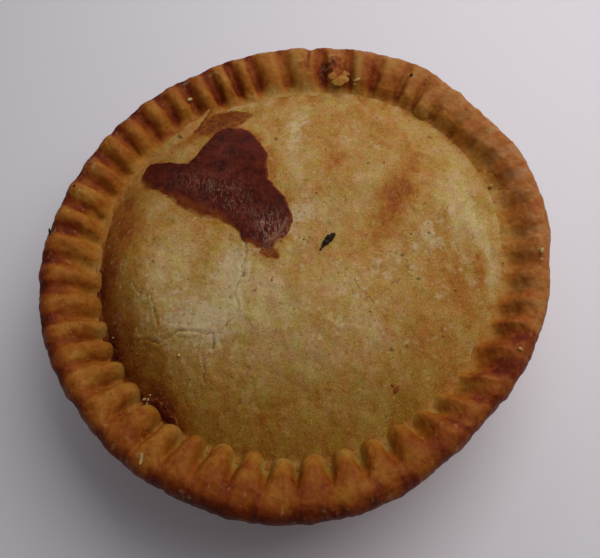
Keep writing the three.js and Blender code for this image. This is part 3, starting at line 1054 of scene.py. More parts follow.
def make_case(material):
    """The tapered case: its section carried round, closed with a flat base and a hidden top."""
    heading = np.arange(CASE_COLUMNS) * 360 / CASE_COLUMNS
    wall = [
        (mix(BASE_RADIUS, WALL_TOP_RADIUS, share), mix(CASE_FOOT[-1][1], WALL_TOP_HEIGHT, share))
        for share in np.linspace(0, 1, CASE_ROWS)[1:]
    ]
    rows = [swollen_ring(radius, height, heading) for radius, height in (*CASE_FOOT, *wall, *CASE_TOP)]
    points = np.stack(rows)
    height = points[..., 2]
    room = ease(*CASE_RELIEF_START, height) * ease(*CASE_RELIEF_END, height)
    points = push_out(points, CASE_RELIEF * crust_relief(points) * room, False)
    points[:FLAT_ROWS, :, 2] = 0
    bake = CASE_TONE + sum_of(layered, points, CASE_GRAIN)
    bake = bake + CASE_TOP_BAKE * ease(*CASE_TOP_ZONE, height)
    bake = bake + CASE_FOOT_BAKE * ease(*CASE_FOOT_ZONE, height)
    marks = {
        "bake": np.append(bake.ravel(), [CASE_MIDDLE_BAKE, CASE_MIDDLE_BAKE]),
        "flake": np.append(flake_mark(points, CASE_FLAKES).ravel(), [0, 0]),
    }
    faces = capped_faces(*points.shape[:2])
    points = np.concatenate([points.reshape(-1, 3), [(0, 0, 0), (0, 0, CASE_TOP[-1][1])]])
    return add_piece("pie_case", points, *faces, marks, material, "pastry")


# ------------------------------------------------------------------ gravy
# The leak's edge, anticlockwise, seen from above.
LEAK_EDGE = (
    (-3.9, 14.9), (-4.1, 21), (-5.7, 25.9), (-7.6, 29.9), (-10.7, 31.9), (-13.5, 32.8), (-16, 32),
    (-17.6, 29.6), (-20.2, 25.9), (-23, 22.6), (-26, 22.9), (-30.2, 25.6), (-34.2, 26.8),
    (-35.9, 22.6), (-34.7, 19.2), (-31.8, 16.2), (-28.7, 13.2), (-26, 9.9), (-23.2, 7.3), (-20, 5.1),
    (-15.9, 3.9), (-13.5, 1.9), (-11.5, -0.7), (-10.8, -3.5), (-9, -4), (-5.7, -5), (-1.9, -2.1),
    (0.5, 1.2), (0.2, 5.3), (-1.3, 8.4), (-3.3, 12),
)
LEAK_MIDDLE = (-14.2, 13)
LEAK_THICKNESS = 0.5
LEAK_BORDER = 1.3
# Spots in the valley: (x, y, half length, half width, heading of the length).
GRAVY_SPOTS = (
    (-45.9, -8.6, 2.6, 1.3, 98),
    (-43, -21.3, 2.4, 1.3, 118),
    (-32, -36.1, 4.6, 1.8, 134),
    (-36.8, -31.2, 1.6, 0.9, 130),
)
SPOT_THICKNESS = 0.14
SPOT_BORDER = 2
# The grain that makes a puddle's edge ragged: (amount, size, seed for x, seed for y).
RAGGED_EDGE = ((0.35, 2.2, 81, 82), (0.22, 0.9, 81, 82), (0.07, 0.4, 81, 82))
# Soft ovals where whitish strands of painted glint show on the skin, and darker clots: (amount, x, y,
# half length, half width, heading).
GLINT_AND_CLOT_PLACES = (
    (0.55, -13.3, 10.1, 7, 4, 130),
    (1.0, -4, -0.5, 5, 4, 120),
    (0.35, -22, 16, 7, 3, 150),
    (0.1, -14, 24, 6, 3, 100),
    (0.9, -6.6, 1.6, 0.8, 0.6, 60),
    (0.9, -5.2, -1.4, 0.7, 0.5, 30),
)
# Where the skin thins out slowly towards its edge.
THIN_PLACES = ((4, -24, 9.5, 13, 6, 145), (2.6, -6, -3.5, 7, 3.5, 20))
# A lifted wrinkle across the leak's tip.
LEAK_WRINKLE = ((-6.4, -3.3), (-4.4, -2.6), (-2.4, -0.6), (-1.1, 2))
WRINKLE_WIDTH = 0.35
WRINKLE_HEIGHT = 0.35
WRINKLE_SHEEN = 0.55
GRAVY_SINK = 0.12
GRAVY_UNDERSIDE = 2.2
# The skin: how wide its edge is rounded, how uneven its thickness is, how high it crinkles, how much
# of the crust's relief it hides, and the grain in the depth of its border.
SKIN_ROUND = 1.2
SKIN_GRAIN = (0.4, 4, 83)
CRINKLE_HEIGHT = 0.08
CRINKLE = (1.1, 91)
RELIEF_HIDDEN = 0.6
DEPTH_GRAINS = ((0.5, 2, 84), (0.3, 0.8, 85))
INNERMOST_RING = 0.012


def puddle(edge, middle, thickness, border, rings):
    """A puddle on the lid: rings that shrink from its edge to its middle, with a rounded border that
    thins to nothing and a wrinkled skin. Gives points, quads, triangles and marks."""
    edge = np.stack(pushed(*edge.T, RAGGED_EDGE), axis=-1)
    share = np.linspace(1, INNERMOST_RING, rings)[:, None, None]
    plan = middle + (edge - middle) * share
    x, y = plan[..., 0], plan[..., 1]
    here = flat_points(x, y)
    inset = (1 - share[..., 0]) * np.linalg.norm(edge - middle, axis=-1)
    thin = 1 + patch(x, y, THIN_PLACES)
    body = np.sqrt(1 - (1 - np.clip(inset / (SKIN_ROUND * thin), 0, 1)) ** 2)
    ridge = bell(line_side(x, y, LEAK_WRINKLE), WRINKLE_WIDTH)
    crinkle = CRINKLE_HEIGHT * (1 - 2 * np.abs(grain(here, *CRINKLE)))
    skin = thickness * (1 + sum_of(grain, here, SKIN_GRAIN)) + crinkle + WRINKLE_HEIGHT * ridge
    z = lid_height(x, y) + crust_relief(here) * (1 - RELIEF_HIDDEN * body) + body * skin - GRAVY_SINK
    centre = np.array([*middle, z[-1].mean()])
    points = np.stack([x, y, z], axis=-1).reshape(-1, 3)
    points = np.concatenate([points, [centre - (0, 0, GRAVY_UNDERSIDE), centre]])
    ragged = inset + sum_of(grain, here, *DEPTH_GRAINS)
    marks = {
        "depth": ease(0, 1, ragged / (border * thin)),
        "worn": patch(x, y, GLINT_AND_CLOT_PLACES),
        "folded": WRINKLE_SHEEN * ridge,
    }
    marks = {mark: np.append(values.ravel(), [0, values[-1].mean()]) for mark, values in marks.items()}
    return points, *capped_faces(rings, len(edge)), marks


def make_gravy(material):
    """The leak through the lid, and the spots that ran into the valley at the left."""
    count, rings = LEAK_GRID
    edge, middle = smooth_loop(LEAK_EDGE, count), np.array(LEAK_MIDDLE)
    leak = puddle(edge, middle, LEAK_THICKNESS, LEAK_BORDER, rings)
    add_piece("gravy_leak", *leak, material, "gravy")
    count, rings = SPOT_GRID
    spots = [
        puddle(oval(*place, count), np.array(place[:2]), SPOT_THICKNESS, SPOT_BORDER, rings)
        for place in GRAVY_SPOTS
    ]
    add_piece("gravy_spots", *joined(spots), material, "gravy")


# ------------------------------------------------------------------ small pieces on the crust
# Crumbs: (x, y, half length, half width, half height, heading, bake).
CRUMBS = (
    (-22.9, 45.1, 0.6, 0.45, 0.4, 20, 0.0),
    (20.7, 44.9, 0.75, 0.4, 0.4, 25, 0.15),
    (20.0, 44.4, 0.35, 0.3, 0.25, 80, 0.2),
    (48.4, 10.2, 0.6, 0.4, 0.45, 10, 0.3),
    (49.9, 10.4, 0.3, 0.25, 0.3, 50, 0.35),
    (-35.9, -32.4, 0.4, 0.3, 0.3, 10, 0.05),
    (-35, -32.7, 0.45, 0.3, 0.3, 60, 0.05),
    (-35.4, -33.4, 0.3, 0.25, 0.25, 120, 0.1),
    (-34.4, -32, 0.25, 0.2, 0.2, 30, 0.1),
    (-26.8, -25.9, 0.35, 0.3, 0.25, 70, 0.05),
    (-42.7, -17.6, 0.25, 0.2, 0.2, 20, 0.2),
    (54.8, -10.1, 0.7, 0.4, 0.35, 70, 0.25),
    (54.2, -12.2, 0.4, 0.3, 0.25, 20, 0.3),
    (44.7, -32.4, 0.6, 0.4, 0.3, 120, 0.3),
    (-13.6, 0.2, 0.3, 0.25, 0.2, 40, 0.15),
)
DARK_SPECKS = (
    (34.5, 43.7, 0.55, 0.4, 0.3, 30, 0.9),
    (-57, 9.2, 0.9, 0.25, 0.3, 100, 1.0),
    (2.3, -3.2, 0.22, 0.16, 0.12, 40, 0.85),
    (3.1, -3.9, 0.18, 0.14, 0.12, 110, 0.85),
    (1.6, -4.4, 0.16, 0.12, 0.1, 60, 0.8),
    (3.6, -2.8, 0.14, 0.12, 0.1, 10, 0.85),
    (18.1, -37.2, 0.8, 0.5, 0.14, 60, 0.79),
    (17.4, -36.4, 0.35, 0.3, 0.12, 20, 0.74),
    (-51.2, 20.5, 0.3, 0.25, 0.2, 20, 0.9),
)
# The charred crumb is a club of five lumps.
CHARRED_CRUMB = (
    (5.7, -6, 0.32, 0.26, 0.25, 45, 1.0),
    (6.3, -5.3, 0.5, 0.3, 0.3, 45, 1.0),
    (7.2, -4.4, 0.85, 0.7, 0.5, 40, 1.0),
    (8, -3.7, 1.0, 0.85, 0.6, 30, 1.0),
    (8.8, -3, 0.7, 0.6, 0.5, 60, 1.0),
)
FINE_CRUMBS = 55
FINE_CRUMB_REACH = 56
FINE_CRUMB_SIZES = (0.12, 0.3)
FINE_CRUMB_BAKES = (0.25, 0.6)
BURNT_FROM = 0.8
# A crumb's ring nearest a pole in radians, its uneven form, and how far up its middle lies.
POLE_GAP = 0.12
NUGGET_GRAIN = (0.4, 0.9, 95)
NUGGET_LIFT = 0.75
# The flap's stations: (x, y, half width, half height, how far it lifts), and its bake.
FLAP = (
    (-25.8, 34, 0.9, 0.16, 0.2),
    (-24.4, 35.4, 1.6, 0.26, 0.4),
    (-22.8, 36.9, 1.4, 0.28, 0.6),
    (-21, 38.7, 0.8, 0.26, 0.7),
    (-19.4, 40.5, 0.55, 0.22, 0.6),
    (-17.8, 42.4, 0.25, 0.1, 0.3),
)
FLAP_BAKE = 0.43
SLIVER_BAKE_GRAIN = (0.12, 1.5, 99)
# Lifted flakes: (x, y, half length, half width, heading, dome, lift, thickness, bake).
RIM_FLAKES = (
    (16.1, 46.1, 2.3, 1.6, 8, 0.75, 0.1, 0.3, 0.5),
    (14.5, 47.2, 1.2, 1.0, 50, 0.5, 0.2, 0.3, 0.56),
    (17.5, 47.4, 1.7, 0.8, 80, 0.45, 0.2, 0.3, 0.48),
    (18.6, 48.6, 0.9, 0.45, 120, 0.2, 0.2, 0.25, 0.4),
    (-35.1, -46.6, 1.1, 0.35, 70, 0.15, 0.4, 0.25, 0.25),
)
FLAKE_EDGE = ((0.22, 2.4, 101, 102), (0.16, 0.9, 101, 102))
FLAKE_MIDDLE = 0.02
FLAKE_RELIEF = (0.12, 1.4, 103)
FLAKE_BAKE_GRAIN = (0.1, 1.5, 104)
FLAKE_EDGE_PALER = 0.12


def nugget(k, x, y, length, width, height, run, bake):
    """Crumb k: an ellipsoid whose radius is made uneven by grain, lying on the crust."""
    rows, columns = NUGGET_GRID
    down = np.linspace(math.pi - POLE_GAP, POLE_GAP, rows)[:, None]
    turn = (np.arange(columns) * math.tau / columns)[None, :]
    ball = np.stack(np.broadcast_arrays(
        np.sin(down) * np.cos(turn), np.sin(down) * np.sin(turn), np.cos(down),
    ), axis=-1)
    ball = np.concatenate([ball.reshape(-1, 3), [(0, 0, -1), (0, 0, 1)]])
    uneven = 1 + sum_of(grain, ball + 9.0 * k, NUGGET_GRAIN)
    ball = ball * uneven[:, None] * (length, width, height)
    turned = ball @ np.array(Matrix.Rotation(math.radians(run), 3, "Z")).T
    base = finished_height(np.array([x]), np.array([y]))[0]
    points = turned + (x, y, base + NUGGET_LIFT * height)
    burnt = float(bake > BURNT_FROM)
    marks = {"bake": np.full(len(points), bake), "burnt": np.full(len(points), burnt)}
    return points, *capped_faces(rows, columns), marks


def fine_crumbs():
    """Places of tiny loose crumbs, evenly random over the pie."""
    dice = np.random.default_rng(7)
    radius = FINE_CRUMB_REACH * np.sqrt(dice.uniform(0, 1, FINE_CRUMBS))
    heading = dice.uniform(0, math.tau, FINE_CRUMBS)
    size = dice.uniform(*FINE_CRUMB_SIZES, FINE_CRUMBS)
    bake = dice.uniform(*FINE_CRUMB_BAKES, FINE_CRUMBS)
    return [
        (r * math.cos(t), r * math.sin(t), a, a * 0.75, a * 0.7, math.degrees(t * 7), b)
        for r, t, a, b in zip(radius, heading, size, bake)
    ]


def sliver(stations, bake):
    """A strip of pastry along a line of stations on the crust: an oval section whose half width, half
    height and lift change evenly from station to station."""
    count, sides = SLIVER_GRID
    steps = np.linspace(0, len(stations) - 1, count)
    columns = [np.interp(steps, np.arange(len(stations)), values) for values in np.transpose(stations)]
    x, y = smoothed(columns[0]), smoothed(columns[1])
    width, height, up = (values[:, None] for values in columns[2:])
    run = np.arctan2(np.gradient(y), np.gradient(x))[:, None]
    turn = (np.arange(sides) * math.tau / sides)[None, :]

    def beside(away):
        """x and y at a distance to the left of the line."""
        return x[:, None] - away * np.sin(run), y[:, None] + away * np.cos(run)

    ground = smoothed(crust_height(*beside(width * np.array([-0.8, 0, 0.8]))).mean(axis=1))[:, None]
    z = ground + up + height * (1 + np.sin(turn))
    points = np.stack([*beside(width * np.cos(turn)), z], axis=-1)
    uneven = [grain(points, 1.6, seed) + 0.5 * grain(points, 0.7, seed + 3) for seed in (96, 97, 98)]
    points = points + 0.3 * width[..., None] * np.stack(uneven, axis=-1) * (1, 1, 0.4)
    points = np.concatenate([points.reshape(-1, 3), points[[0, -1]].mean(axis=1)])
    marks = {"bake": bake + sum_of(layered, points, SLIVER_BAKE_GRAIN)}
    return points, *capped_faces(count, sides), marks


def scale(x, y, length, width, run, dome, lift, thickness, bake):
    """A lifted flake of crust: an oval shell, domed, with one side lifted off the crust. Its upper and
    lower sides are rings that shrink to the middle."""
    count, rings = SCALE_GRID
    edge = np.stack(pushed(*oval(x, y, length, width, run, count).T, FLAKE_EDGE, length), axis=-1)
    out = np.linspace(FLAKE_MIDDLE, 1, rings)
    away = np.concatenate([out, out[::-1]])[:, None]
    plan = np.array([x, y]) + (edge - (x, y)) * away[..., None]
    px, py = plan[..., 0], plan[..., 1]
    here = flat_points(px, py)
    side, _ = along_and_across(px, py, x, y, run)
    under = (np.arange(2 * rings) >= rings)[:, None] * (0.5 + 0.5 * (1 - away))
    base = crust_height(np.array([x]), np.array([y]))[0]
    z = base + dome * (1 - away**2) + lift * ease(-0.4, 1, side / length) - thickness * under
    z = z + sum_of(grain, here, FLAKE_RELIEF)
    points = np.stack([px, py, z], axis=-1)
    points = np.concatenate([points.reshape(-1, 3), points[[0, -1]].mean(axis=1)])
    uneven = bake - FLAKE_EDGE_PALER * ease(0.75, 1, away) + sum_of(layered, here, FLAKE_BAKE_GRAIN)
    quads, triangles = capped_faces(2 * rings, count)
    marks = {"bake": np.append(uneven.ravel(), [bake, bake])}
    return points, quads[:, ::-1], triangles[:, ::-1], marks


def scatter(name, rows, first, material):
    """Nuggets at their places as one piece; first is the number of the first."""
    nuggets = [nugget(first + k, *row) for k, row in enumerate(rows)]
    add_piece(name, *joined(nuggets), material, "pastry")


def make_small_pieces(material, charred):
    """Crumbs, specks, the flap by the leak, the lifted flakes on the rim and the charred crumb."""
    scatter("crumbs", (*CRUMBS, *fine_crumbs()), 0, material)
    scatter("dark_specks", DARK_SPECKS, 300, charred)
    add_piece("pastry_flap", *sliver(FLAP, FLAP_BAKE), material, "pastry")
    add_piece("rim_flakes", *joined([scale(*row) for row in RIM_FLAKES]), material, "pastry")
    scatter("charred_crumb", CHARRED_CRUMB, 400, charred)


# ------------------------------------------------------------------ building node trees
COLOUR = "NodeSocketColor"
VALUE = "NodeSocketFloat"


class Signal:
    """An output in a node tree. Sums and products of signals add Math nodes, so that a formula is
    written the way it is worked out."""

    def __init__(self, tree, socket):
        self.tree = tree
        self.socket = socket

    def beside(self, name):
        """Another output of the same node."""
        return Signal(self.tree, self.socket.node.outputs[name])

    def math(self, operation, *others):
        """A Math node that starts from this signal."""
        return add_node(self.tree, "Math", dict(enumerate((self, *others))), operation=operation)

    def __add__(self, other):
        return self.math("ADD", other)

    def __sub__(self, other):
        return self.math("SUBTRACT", other)

    def __mul__(self, other):
        return self.math("MULTIPLY", other)

    def __gt__(self, other):
        return self.math("GREATER_THAN", other)

    def __abs__(self):
        return self.math("ABSOLUTE")

    def rise(self, start, full, way="SMOOTHSTEP"):
        """0 where this is start, 1 where it is full, and a smooth or even rise between."""
        inputs = {"Value": self, "From Min": start, "From Max": full}
        return add_node(self.tree, "MapRange", inputs, interpolation_type=way)


def plug(value, socket):
    """Links a signal to a socket, or sets the socket's own value."""
    if isinstance(value, Signal):
        value.tree.links.new(value.socket, socket)
    else:
        socket.default_value = value


def add_node(tree, kind, inputs, output=0, **settings):
    """Adds a node with its settings, and links or sets its inputs; gives the output asked for."""
    node = tree.nodes.new("ShaderNode" + kind)
    for name, value in settings.items():
        setattr(node, name, value)
    for name, value in inputs.items():
        plug(value, node.inputs[name])
    return Signal(tree, node.outputs[output])


def object_place(tree):
    """Object coordinates of the piece."""
    return add_node(tree, "TexCoord", {}, "Object")


def mesh_mark(tree, name):
    """A mark of the mesh, as a value."""
    return add_node(tree, "Attribute", {}, "Fac", attribute_name=name)


def noise(place, scale, detail=2, roughness=0.6, seed=0):
    """A Noise Texture, 0 to 1: scale is waves in a metre, and each seed gives another pattern."""
    inputs = {"Vector": place, "Scale": scale, "Detail": detail, "Roughness": roughness, "W": seed}
    return add_node(place.tree, "TexNoise", inputs, "Fac", noise_dimensions="4D")


def ramp(factor, stops):
    """A Color Ramp with (position, linear colour) stops."""
    colour = add_node(factor.tree, "ValToRGB", {"Fac": factor}, "Color")
    elements = colour.socket.node.color_ramp.elements
    while len(elements) < len(stops):
        elements.new(0.5)
    for element, (position, tint) in zip(elements, stops):
        element.position = position
        element.color = (*tint, 1)
    return colour


def blend(factor, under, over, way="MIX"):
    """One colour over another, as strongly as the factor says."""
    inputs = {"Factor": factor, "A": under, "B": over}
    return add_node(under.tree, "Mix", inputs, "Result", data_type="RGBA", blend_type=way)


def new_group(name, inputs):
    """An empty node group whose inputs are named with their defaults, four numbers for a colour. Gives
    the group and its inputs as signals."""
    group = bpy.data.node_groups.new(name, "ShaderNodeTree")
    for label, default in inputs.items():
        kind = COLOUR if isinstance(default, tuple) else VALUE
        group.interface.new_socket(label, in_out="INPUT", socket_type=kind).default_value = default
    source = group.nodes.new("NodeGroupInput")
    return group, {label: Signal(group, source.outputs[label]) for label in inputs}


def close_group(group, outputs):
    """Gives a node group its outputs: (name, kind of socket, signal)."""
    for label, kind, _ in outputs:
        group.interface.new_socket(label, in_out="OUTPUT", socket_type=kind)
    result = group.nodes.new("NodeGroupOutput")
    for label, _, signal in outputs:
        plug(signal, result.inputs[label])
    return group


def new_material(name):
    """An empty material, its node tree and its Principled shader's inputs."""
    material = bpy.data.materials.new(name)
    material.use_nodes = True
    return material, material.node_tree, material.node_tree.nodes["Principled BSDF"].inputs


def finish_shader(shader, colour, height, depth, roughness, gloss):
    """Feeds a shader: its colour, a relief of a depth in mm, and a roughness and gloss that are the
    same all over."""
    relief = add_node(colour.tree, "Bump", {"Distance": depth * MM, "Height": height}, "Normal")
    plug(colour, shader["Base Color"])
    plug(relief, shader["Normal"])
    shader["Roughness"].default_value = roughness
    shader["Specular IOR Level"].default_value = gloss


# ------------------------------------------------------------------ looks of the pastry
BAKE_STOPS = (
    (0.0, (0.57, 0.415, 0.19)),
    (0.2, (0.47, 0.301, 0.103)),
    (0.4, (0.415, 0.207, 0.041)),
    (0.55, (0.365, 0.134, 0.016)),
    (0.7, (0.285, 0.072, 0.008)),
    (0.85, (0.175, 0.026, 0.004)),
    (1.0, (0.085, 0.010, 0.003)),
)
HUE_STOPS = ((0.38, (1.03, 0.95, 1.14)), (0.5, (1.0, 1.0, 1.0)), (0.62, (0.95, 1.03, 0.82)))
# Noises that make the bake uneven: (strength, waves in a metre, detail, seed).
MOTTLES = ((1, 380, 4, 1), (0.55, 1100, 2, 2), (0.4, 2600, 2, 3))
# The dark gold tint of crust soaked with fat, and of painted shade.
SHADE_AND_SOAK_TINT = (0.78, 0.80, 0.52, 1)
# The tint of a painted sheen.
SHEEN_TINT = (1.0, 0.93, 1.6, 1)
FLECK_COLOUR = (0.60, 0.43, 0.18, 1)
TOAST_COLOUR = (0.27, 0.095, 0.02, 1)
PIT_TINT = (0.55, 0.42, 0.3, 1)
# Char, which also paints shade into the rim's creases.
CHAR_AND_CREASE_SHADE_COLOUR = (0.022, 0.009, 0.006, 1)
CHALK_COLOUR = (0.57, 0.46, 0.265, 1)
CRACK_COLOUR = (0.07, 0.035, 0.015, 1)


@dataclass
class Look:
    """How one piece of pastry differs from the others."""

    mottle: float = 0.3
    flecks: float = 0.4
    specks: float = 0.3
    hues: float = 1.0
    grain: float = 0.3
    flakes: float = 0.5
    shade_and_soak: float = 0.0
    chalk: float = 0.0
    pits: float = 0.4
    bump: float = 0.2
    roughness: float = 0.6
    gloss: float = 0.1


LOOKS = {
    "lid pastry": Look(
        mottle=0.36, flecks=0.3, specks=0.35, grain=1.6, flakes=0.45, shade_and_soak=1.0, chalk=0.72, pits=0.5
    ),
    "rim pastry": Look(
        mottle=0.3, flecks=0.06, specks=0.25, hues=0.4, flakes=0.22, shade_and_soak=1.0, roughness=0.45,
        gloss=0.07,
    ),
    "case pastry": Look(mottle=0.3, flecks=0.15, specks=0.2, flakes=0.25),
    "crumb pastry": Look(mottle=0.3, flecks=0.2, specks=0.1, flakes=0, gloss=0.15),
    "charred pastry": Look(mottle=0.2, flecks=0.0, specks=0.0, flakes=0, gloss=0.15),
}


def bake_group():
    """Colour of baked pastry from how strongly it is baked. Layers of noise make it uneven, slow noise
    turns it greener or redder, and on top lie pale flecks, toasted specks and a fine grain."""
    inputs = {"Bake": 0.4, "Mottle": 0.12, "Flecks": 0.3, "Specks": 0.3, "Hues": 1.0, "Grain": 0.3}
    group, given = new_group("baked colour", inputs)
    place = object_place(group)
    bake = given["Bake"]
    for strength, scale, detail, seed in MOTTLES:
        bake = bake + (noise(place, scale, detail, seed=seed) - 0.5) * strength * given["Mottle"]
    hue = ramp(noise(place, 330, 2, 0.55, 4), HUE_STOPS)
    colour = blend(given["Hues"], ramp(bake, BAKE_STOPS), hue, "MULTIPLY")
    flecks = noise(place, 1700, seed=5).rise(0.56, 0.68, "LINEAR") * given["Flecks"]
    colour = blend(flecks, colour, FLECK_COLOUR)
    specks = noise(place, 1300, seed=6).rise(0.6, 0.7, "LINEAR") * given["Specks"]
    colour = blend(specks, colour, TOAST_COLOUR)
    shade = (noise(place, 3300, 2, 0.7, 15) - 0.5) * given["Grain"] + 1
    return close_group(group, [("Colour", COLOUR, blend(1, colour, shade, "MULTIPLY"))])


def crumb_group():
    """Fine relief of pastry as a height: crumb grains and small pits."""
    group, given = new_group("pastry crumb", {"Pits": 0.5})
    place = object_place(group)
    pits = noise(place, 900, 2, 0.5) > 0.66
    height = noise(place, 1300, 5, 0.65) - pits * given["Pits"] * 0.6
    return close_group(group, [("Height", VALUE, height), ("Pit mask", VALUE, pits)])


def lid_group():
    """Lid crust over its baked colour: chalky patches with a crisp, ragged edge, hazy ones inside them,
    and thin dark broken lines in the cracks."""
    inputs = {"Colour": (0.4, 0.25, 0.1, 1), "Chalk": 0.5, "Chalk mark": 0.0, "Crack side": 1.0}
    group, given = new_group("lid crust", {**inputs, "Crack near": 0.0})
    place = object_place(group)
    patches = (noise(place, 700, 4, 0.65, 11) - 0.5) * 2.4 + given["Chalk mark"]
    cover = patches.rise(0.1, 1) * 0.5 + patches.rise(0.42, 0.6) * 0.5
    worn = noise(place, 1100, 4, 0.7, 14).rise(0.36, 0.58) * 0.75 + 0.25
    colour = blend(cover * worn * given["Chalk"], given["Colour"], CHALK_COLOUR)
    side = (noise(place, 2500, seed=12) - 0.5) * 0.25 + given["Crack side"]
    shown = noise(place, 600, seed=13).rise(0.42, 0.52) * given["Crack near"]
    line = abs(side).rise(0.11, 0.03) * shown * 0.85
    return close_group(group, [("Colour", COLOUR, blend(line, colour, CRACK_COLOUR))])


def pastry_material(name, groups, look):
    """Baked pastry: colour from the bake mark, a dark gold tint where fat soaked it and as painted
    shade, a painted sheen, pale flakes, burnt spots and painted shade in the rim's creases, and the
    crumb's relief."""
    material, tree, shader = new_material(name)
    inputs = {
        "Bake": mesh_mark(tree, "bake"), "Mottle": look.mottle, "Flecks": look.flecks,
        "Specks": look.specks, "Hues": look.hues, "Grain": look.grain,
    }
    colour = add_node(tree, "Group", inputs, "Colour", node_tree=groups["bake"])
    # Dark gold tint: fat soaked into the crust, and painted shade on the lid's front flank and in the
    # rim's front grooves.
    colour = blend(mesh_mark(tree, "shade_and_soak") * look.shade_and_soak, colour, SHADE_AND_SOAK_TINT, "MULTIPLY")
    # Painted sheen on the rim's right side.
    colour = blend(mesh_mark(tree, "painted_sheen"), colour, SHEEN_TINT, "MULTIPLY")
    colour = blend(mesh_mark(tree, "flake") * look.flakes, colour, FLECK_COLOUR)
    if look.chalk:
        inputs = {"Colour": colour, "Chalk": look.chalk}
        for label in ("Chalk mark", "Crack side", "Crack near"):
            inputs[label] = mesh_mark(tree, label.lower())
        colour = add_node(tree, "Group", inputs, "Colour", node_tree=groups["lid"])
    height = add_node(tree, "Group", {}, "Height", node_tree=groups["crumb"])
    colour = blend(height.beside("Pit mask") * look.pits, colour, PIT_TINT, "MULTIPLY")
    # Char, and painted shade in the rim's creases.
    colour = blend(mesh_mark(tree, "burnt"), colour, CHAR_AND_CREASE_SHADE_COLOUR)
    finish_shader(shader, colour, height, look.bump, look.roughness, look.gloss)
    return material


# ------------------------------------------------------------------ look of the gravy
THICK_GRAVY = ((0.35, (0.044, 0.0070, 0.0040)), (0.65, (0.125, 0.018, 0.0080)))
THIN_GRAVY = ((0.4, (0.16, 0.028, 0.005)), (0.6, (0.25, 0.062, 0.010)))
BARE_COLOUR = (0.37, 0.18, 0.045, 1)
CLOT_COLOUR = (0.034, 0.0055, 0.006, 1)
# Painted glints: their whitish colour, and how their strands run.
GLINT_COLOUR = (0.30, 0.16, 0.115, 1)
GLINT_HEADING = 35
GLINT_STRETCH = (1, 0.32, 1)
GRAVY_BUMP = 0.15
GRAVY_ROUGHNESS = 0.45
GRAVY_GLOSS = 0.04


def gravy_material():
    """Dried gravy skin: dark red-brown, through orange-brown to the crust's gold where it thins out at
    its border, with darker clots, and whitish strands of painted glint on its wrinkles."""
    material, tree, shader = new_material("gravy skin")
    place = object_place(tree)
    blotches = noise(place, 300, 5, 0.6, 7)
    depth, worn = mesh_mark(tree, "depth"), mesh_mark(tree, "worn")
    thick = (depth * 1.25).math("SMOOTH_MIN", 1, 0.3)
    colour = blend(thick, ramp(blotches, THIN_GRAVY), ramp(blotches, THICK_GRAVY))
    bare = (depth * -9 + 1).math("MAXIMUM", 0)
    colour = blend(bare, colour, BARE_COLOUR)
    clots = noise(place, 330, 3, 0.6, 16).rise(0.48, 0.58) * worn.math("MINIMUM", 0.8)
    colour = blend(clots, colour, CLOT_COLOUR)
    # Whitish strands of painted glint, and a painted sheen along the lifted wrinkle.
    turn = (0, 0, math.radians(GLINT_HEADING))
    inputs = {"Vector": place, "Rotation": turn, "Scale": GLINT_STRETCH}
    folds = noise(add_node(tree, "Mapping", inputs), 1100, 3, 0.6, 8) - 0.5
    glints = (abs(folds) * -22 + 1).math("MAXIMUM", 0.03) * worn
    colour = blend(glints.math("MAXIMUM", mesh_mark(tree, "folded")), colour, GLINT_COLOUR)
    wrinkles = noise(place, 1300, 4, 0.6, 9)
    finish_shader(shader, colour, wrinkles, GRAVY_BUMP, GRAVY_ROUGHNESS, GRAVY_GLOSS)
    return material


# ------------------------------------------------------------------ stage, light and camera
CAMERA_PLACE = (0.0, -77.3, 174.9)
CAMERA_AIM = (0.46, -7.3, 30.0)
CAMERA_ROLL = -5.78
CAMERA_LENS = 42.34
CAMERA_SENSOR = 36
CAMERA_NEAREST = 0.01
FLOOR_SIZE = 6.0
FLOOR_COLOUR = (0.80, 0.78, 0.82, 1)
FLOOR_ROUGHNESS = 0.6
# Square lights in metres: (name, place, size, power, colour), all turned to a point on the pie.
LIGHT_AIM = (0, 0, 0.02)
LIGHTS = (
    ("key", (0.152, 0.088, 0.303), 0.3, 0.71, (1.0, 0.96, 0.95)),
    ("back light", (0.134, 0.502, 0.30), 0.6, 0.91, (0.97, 0.97, 1.0)),
)
ROOM_COLOUR = (0.95, 0.93, 1.0, 1)
ROOM_STRENGTH = 0.165


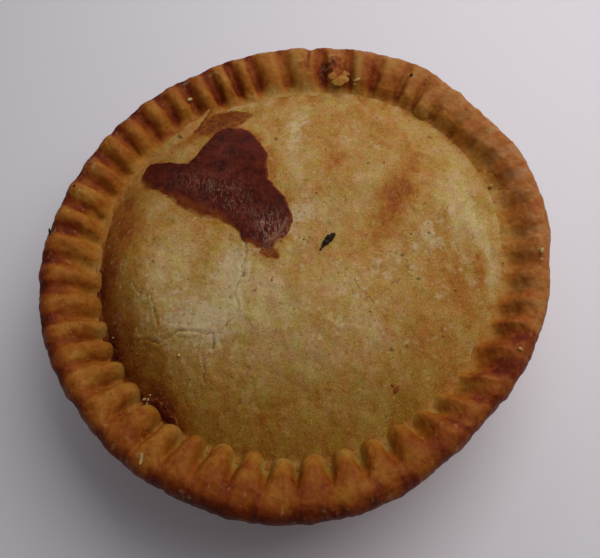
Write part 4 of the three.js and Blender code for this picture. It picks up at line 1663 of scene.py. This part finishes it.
def make_camera():
    """A camera above the front edge that looks down on the lid."""
    data = bpy.data.cameras.new("camera")
    data.lens = CAMERA_LENS
    data.sensor_width = CAMERA_SENSOR
    data.clip_start = CAMERA_NEAREST
    back = (Vector(CAMERA_PLACE) - Vector(CAMERA_AIM)).normalized()
    right = Vector((0, 0, 1)).cross(back).normalized()
    up = back.cross(right)
    roll = math.radians(CAMERA_ROLL)
    across = right * math.cos(roll) + up * math.sin(roll)
    upright = up * math.cos(roll) - right * math.sin(roll)
    place = Matrix((across, upright, back)).transposed().to_4x4()
    place.translation = Vector(CAMERA_PLACE) * MM
    camera = bpy.data.objects.new("camera", data)
    camera.matrix_world = place
    bpy.context.scene.collection.objects.link(camera)
    bpy.context.scene.camera = camera


def make_light(name, place, size, power, colour):
    """A square area light that faces the pie."""
    data = bpy.data.lights.new(name, "AREA")
    data.shape = "SQUARE"
    data.size = size
    data.energy = power
    data.color = colour
    light = bpy.data.objects.new(name, data)
    light.location = place
    light.rotation_euler = (Vector(LIGHT_AIM) - Vector(place)).to_track_quat("-Z", "Y").to_euler()
    bpy.context.scene.collection.objects.link(light)


def make_stage():
    """A pale floor, a soft key from the back right, a softer back light and even light all round."""
    mesh = bpy.data.meshes.new("floor")
    corners = [(FLOOR_SIZE * x, FLOOR_SIZE * y, 0) for x, y in ((-1, -1), (1, -1), (1, 1), (-1, 1))]
    mesh.from_pydata(corners, [], [(0, 1, 2, 3)])
    material, _, shader = new_material("pale floor")
    shader["Base Color"].default_value = FLOOR_COLOUR
    shader["Roughness"].default_value = FLOOR_ROUGHNESS
    mesh.materials.append(material)
    floor = bpy.data.objects.new("floor", mesh)
    bpy.context.scene.collection.objects.link(floor)
    for light in LIGHTS:
        make_light(*light)
    world = bpy.data.worlds.new("room")
    bpy.context.scene.world = world
    world.use_nodes = True
    room = world.node_tree.nodes["Background"].inputs
    room["Color"].default_value = ROOM_COLOUR
    room["Strength"].default_value = ROOM_STRENGTH
    bpy.context.scene.view_settings.view_transform = "Standard"


# ------------------------------------------------------------------ the whole pie
groups = {"bake": bake_group(), "crumb": crumb_group(), "lid": lid_group()}
pastry = {name: pastry_material(name, groups, look) for name, look in LOOKS.items()}
lid = make_lid(pastry["lid pastry"])
rim = make_rim(pastry["rim pastry"])
case = make_case(pastry["case pastry"])
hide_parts("pie")
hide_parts("pie")
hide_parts("pie")
make_gravy(gravy_material())
make_small_pieces(pastry["crumb pastry"], pastry["charred pastry"])
make_stage()
make_camera()
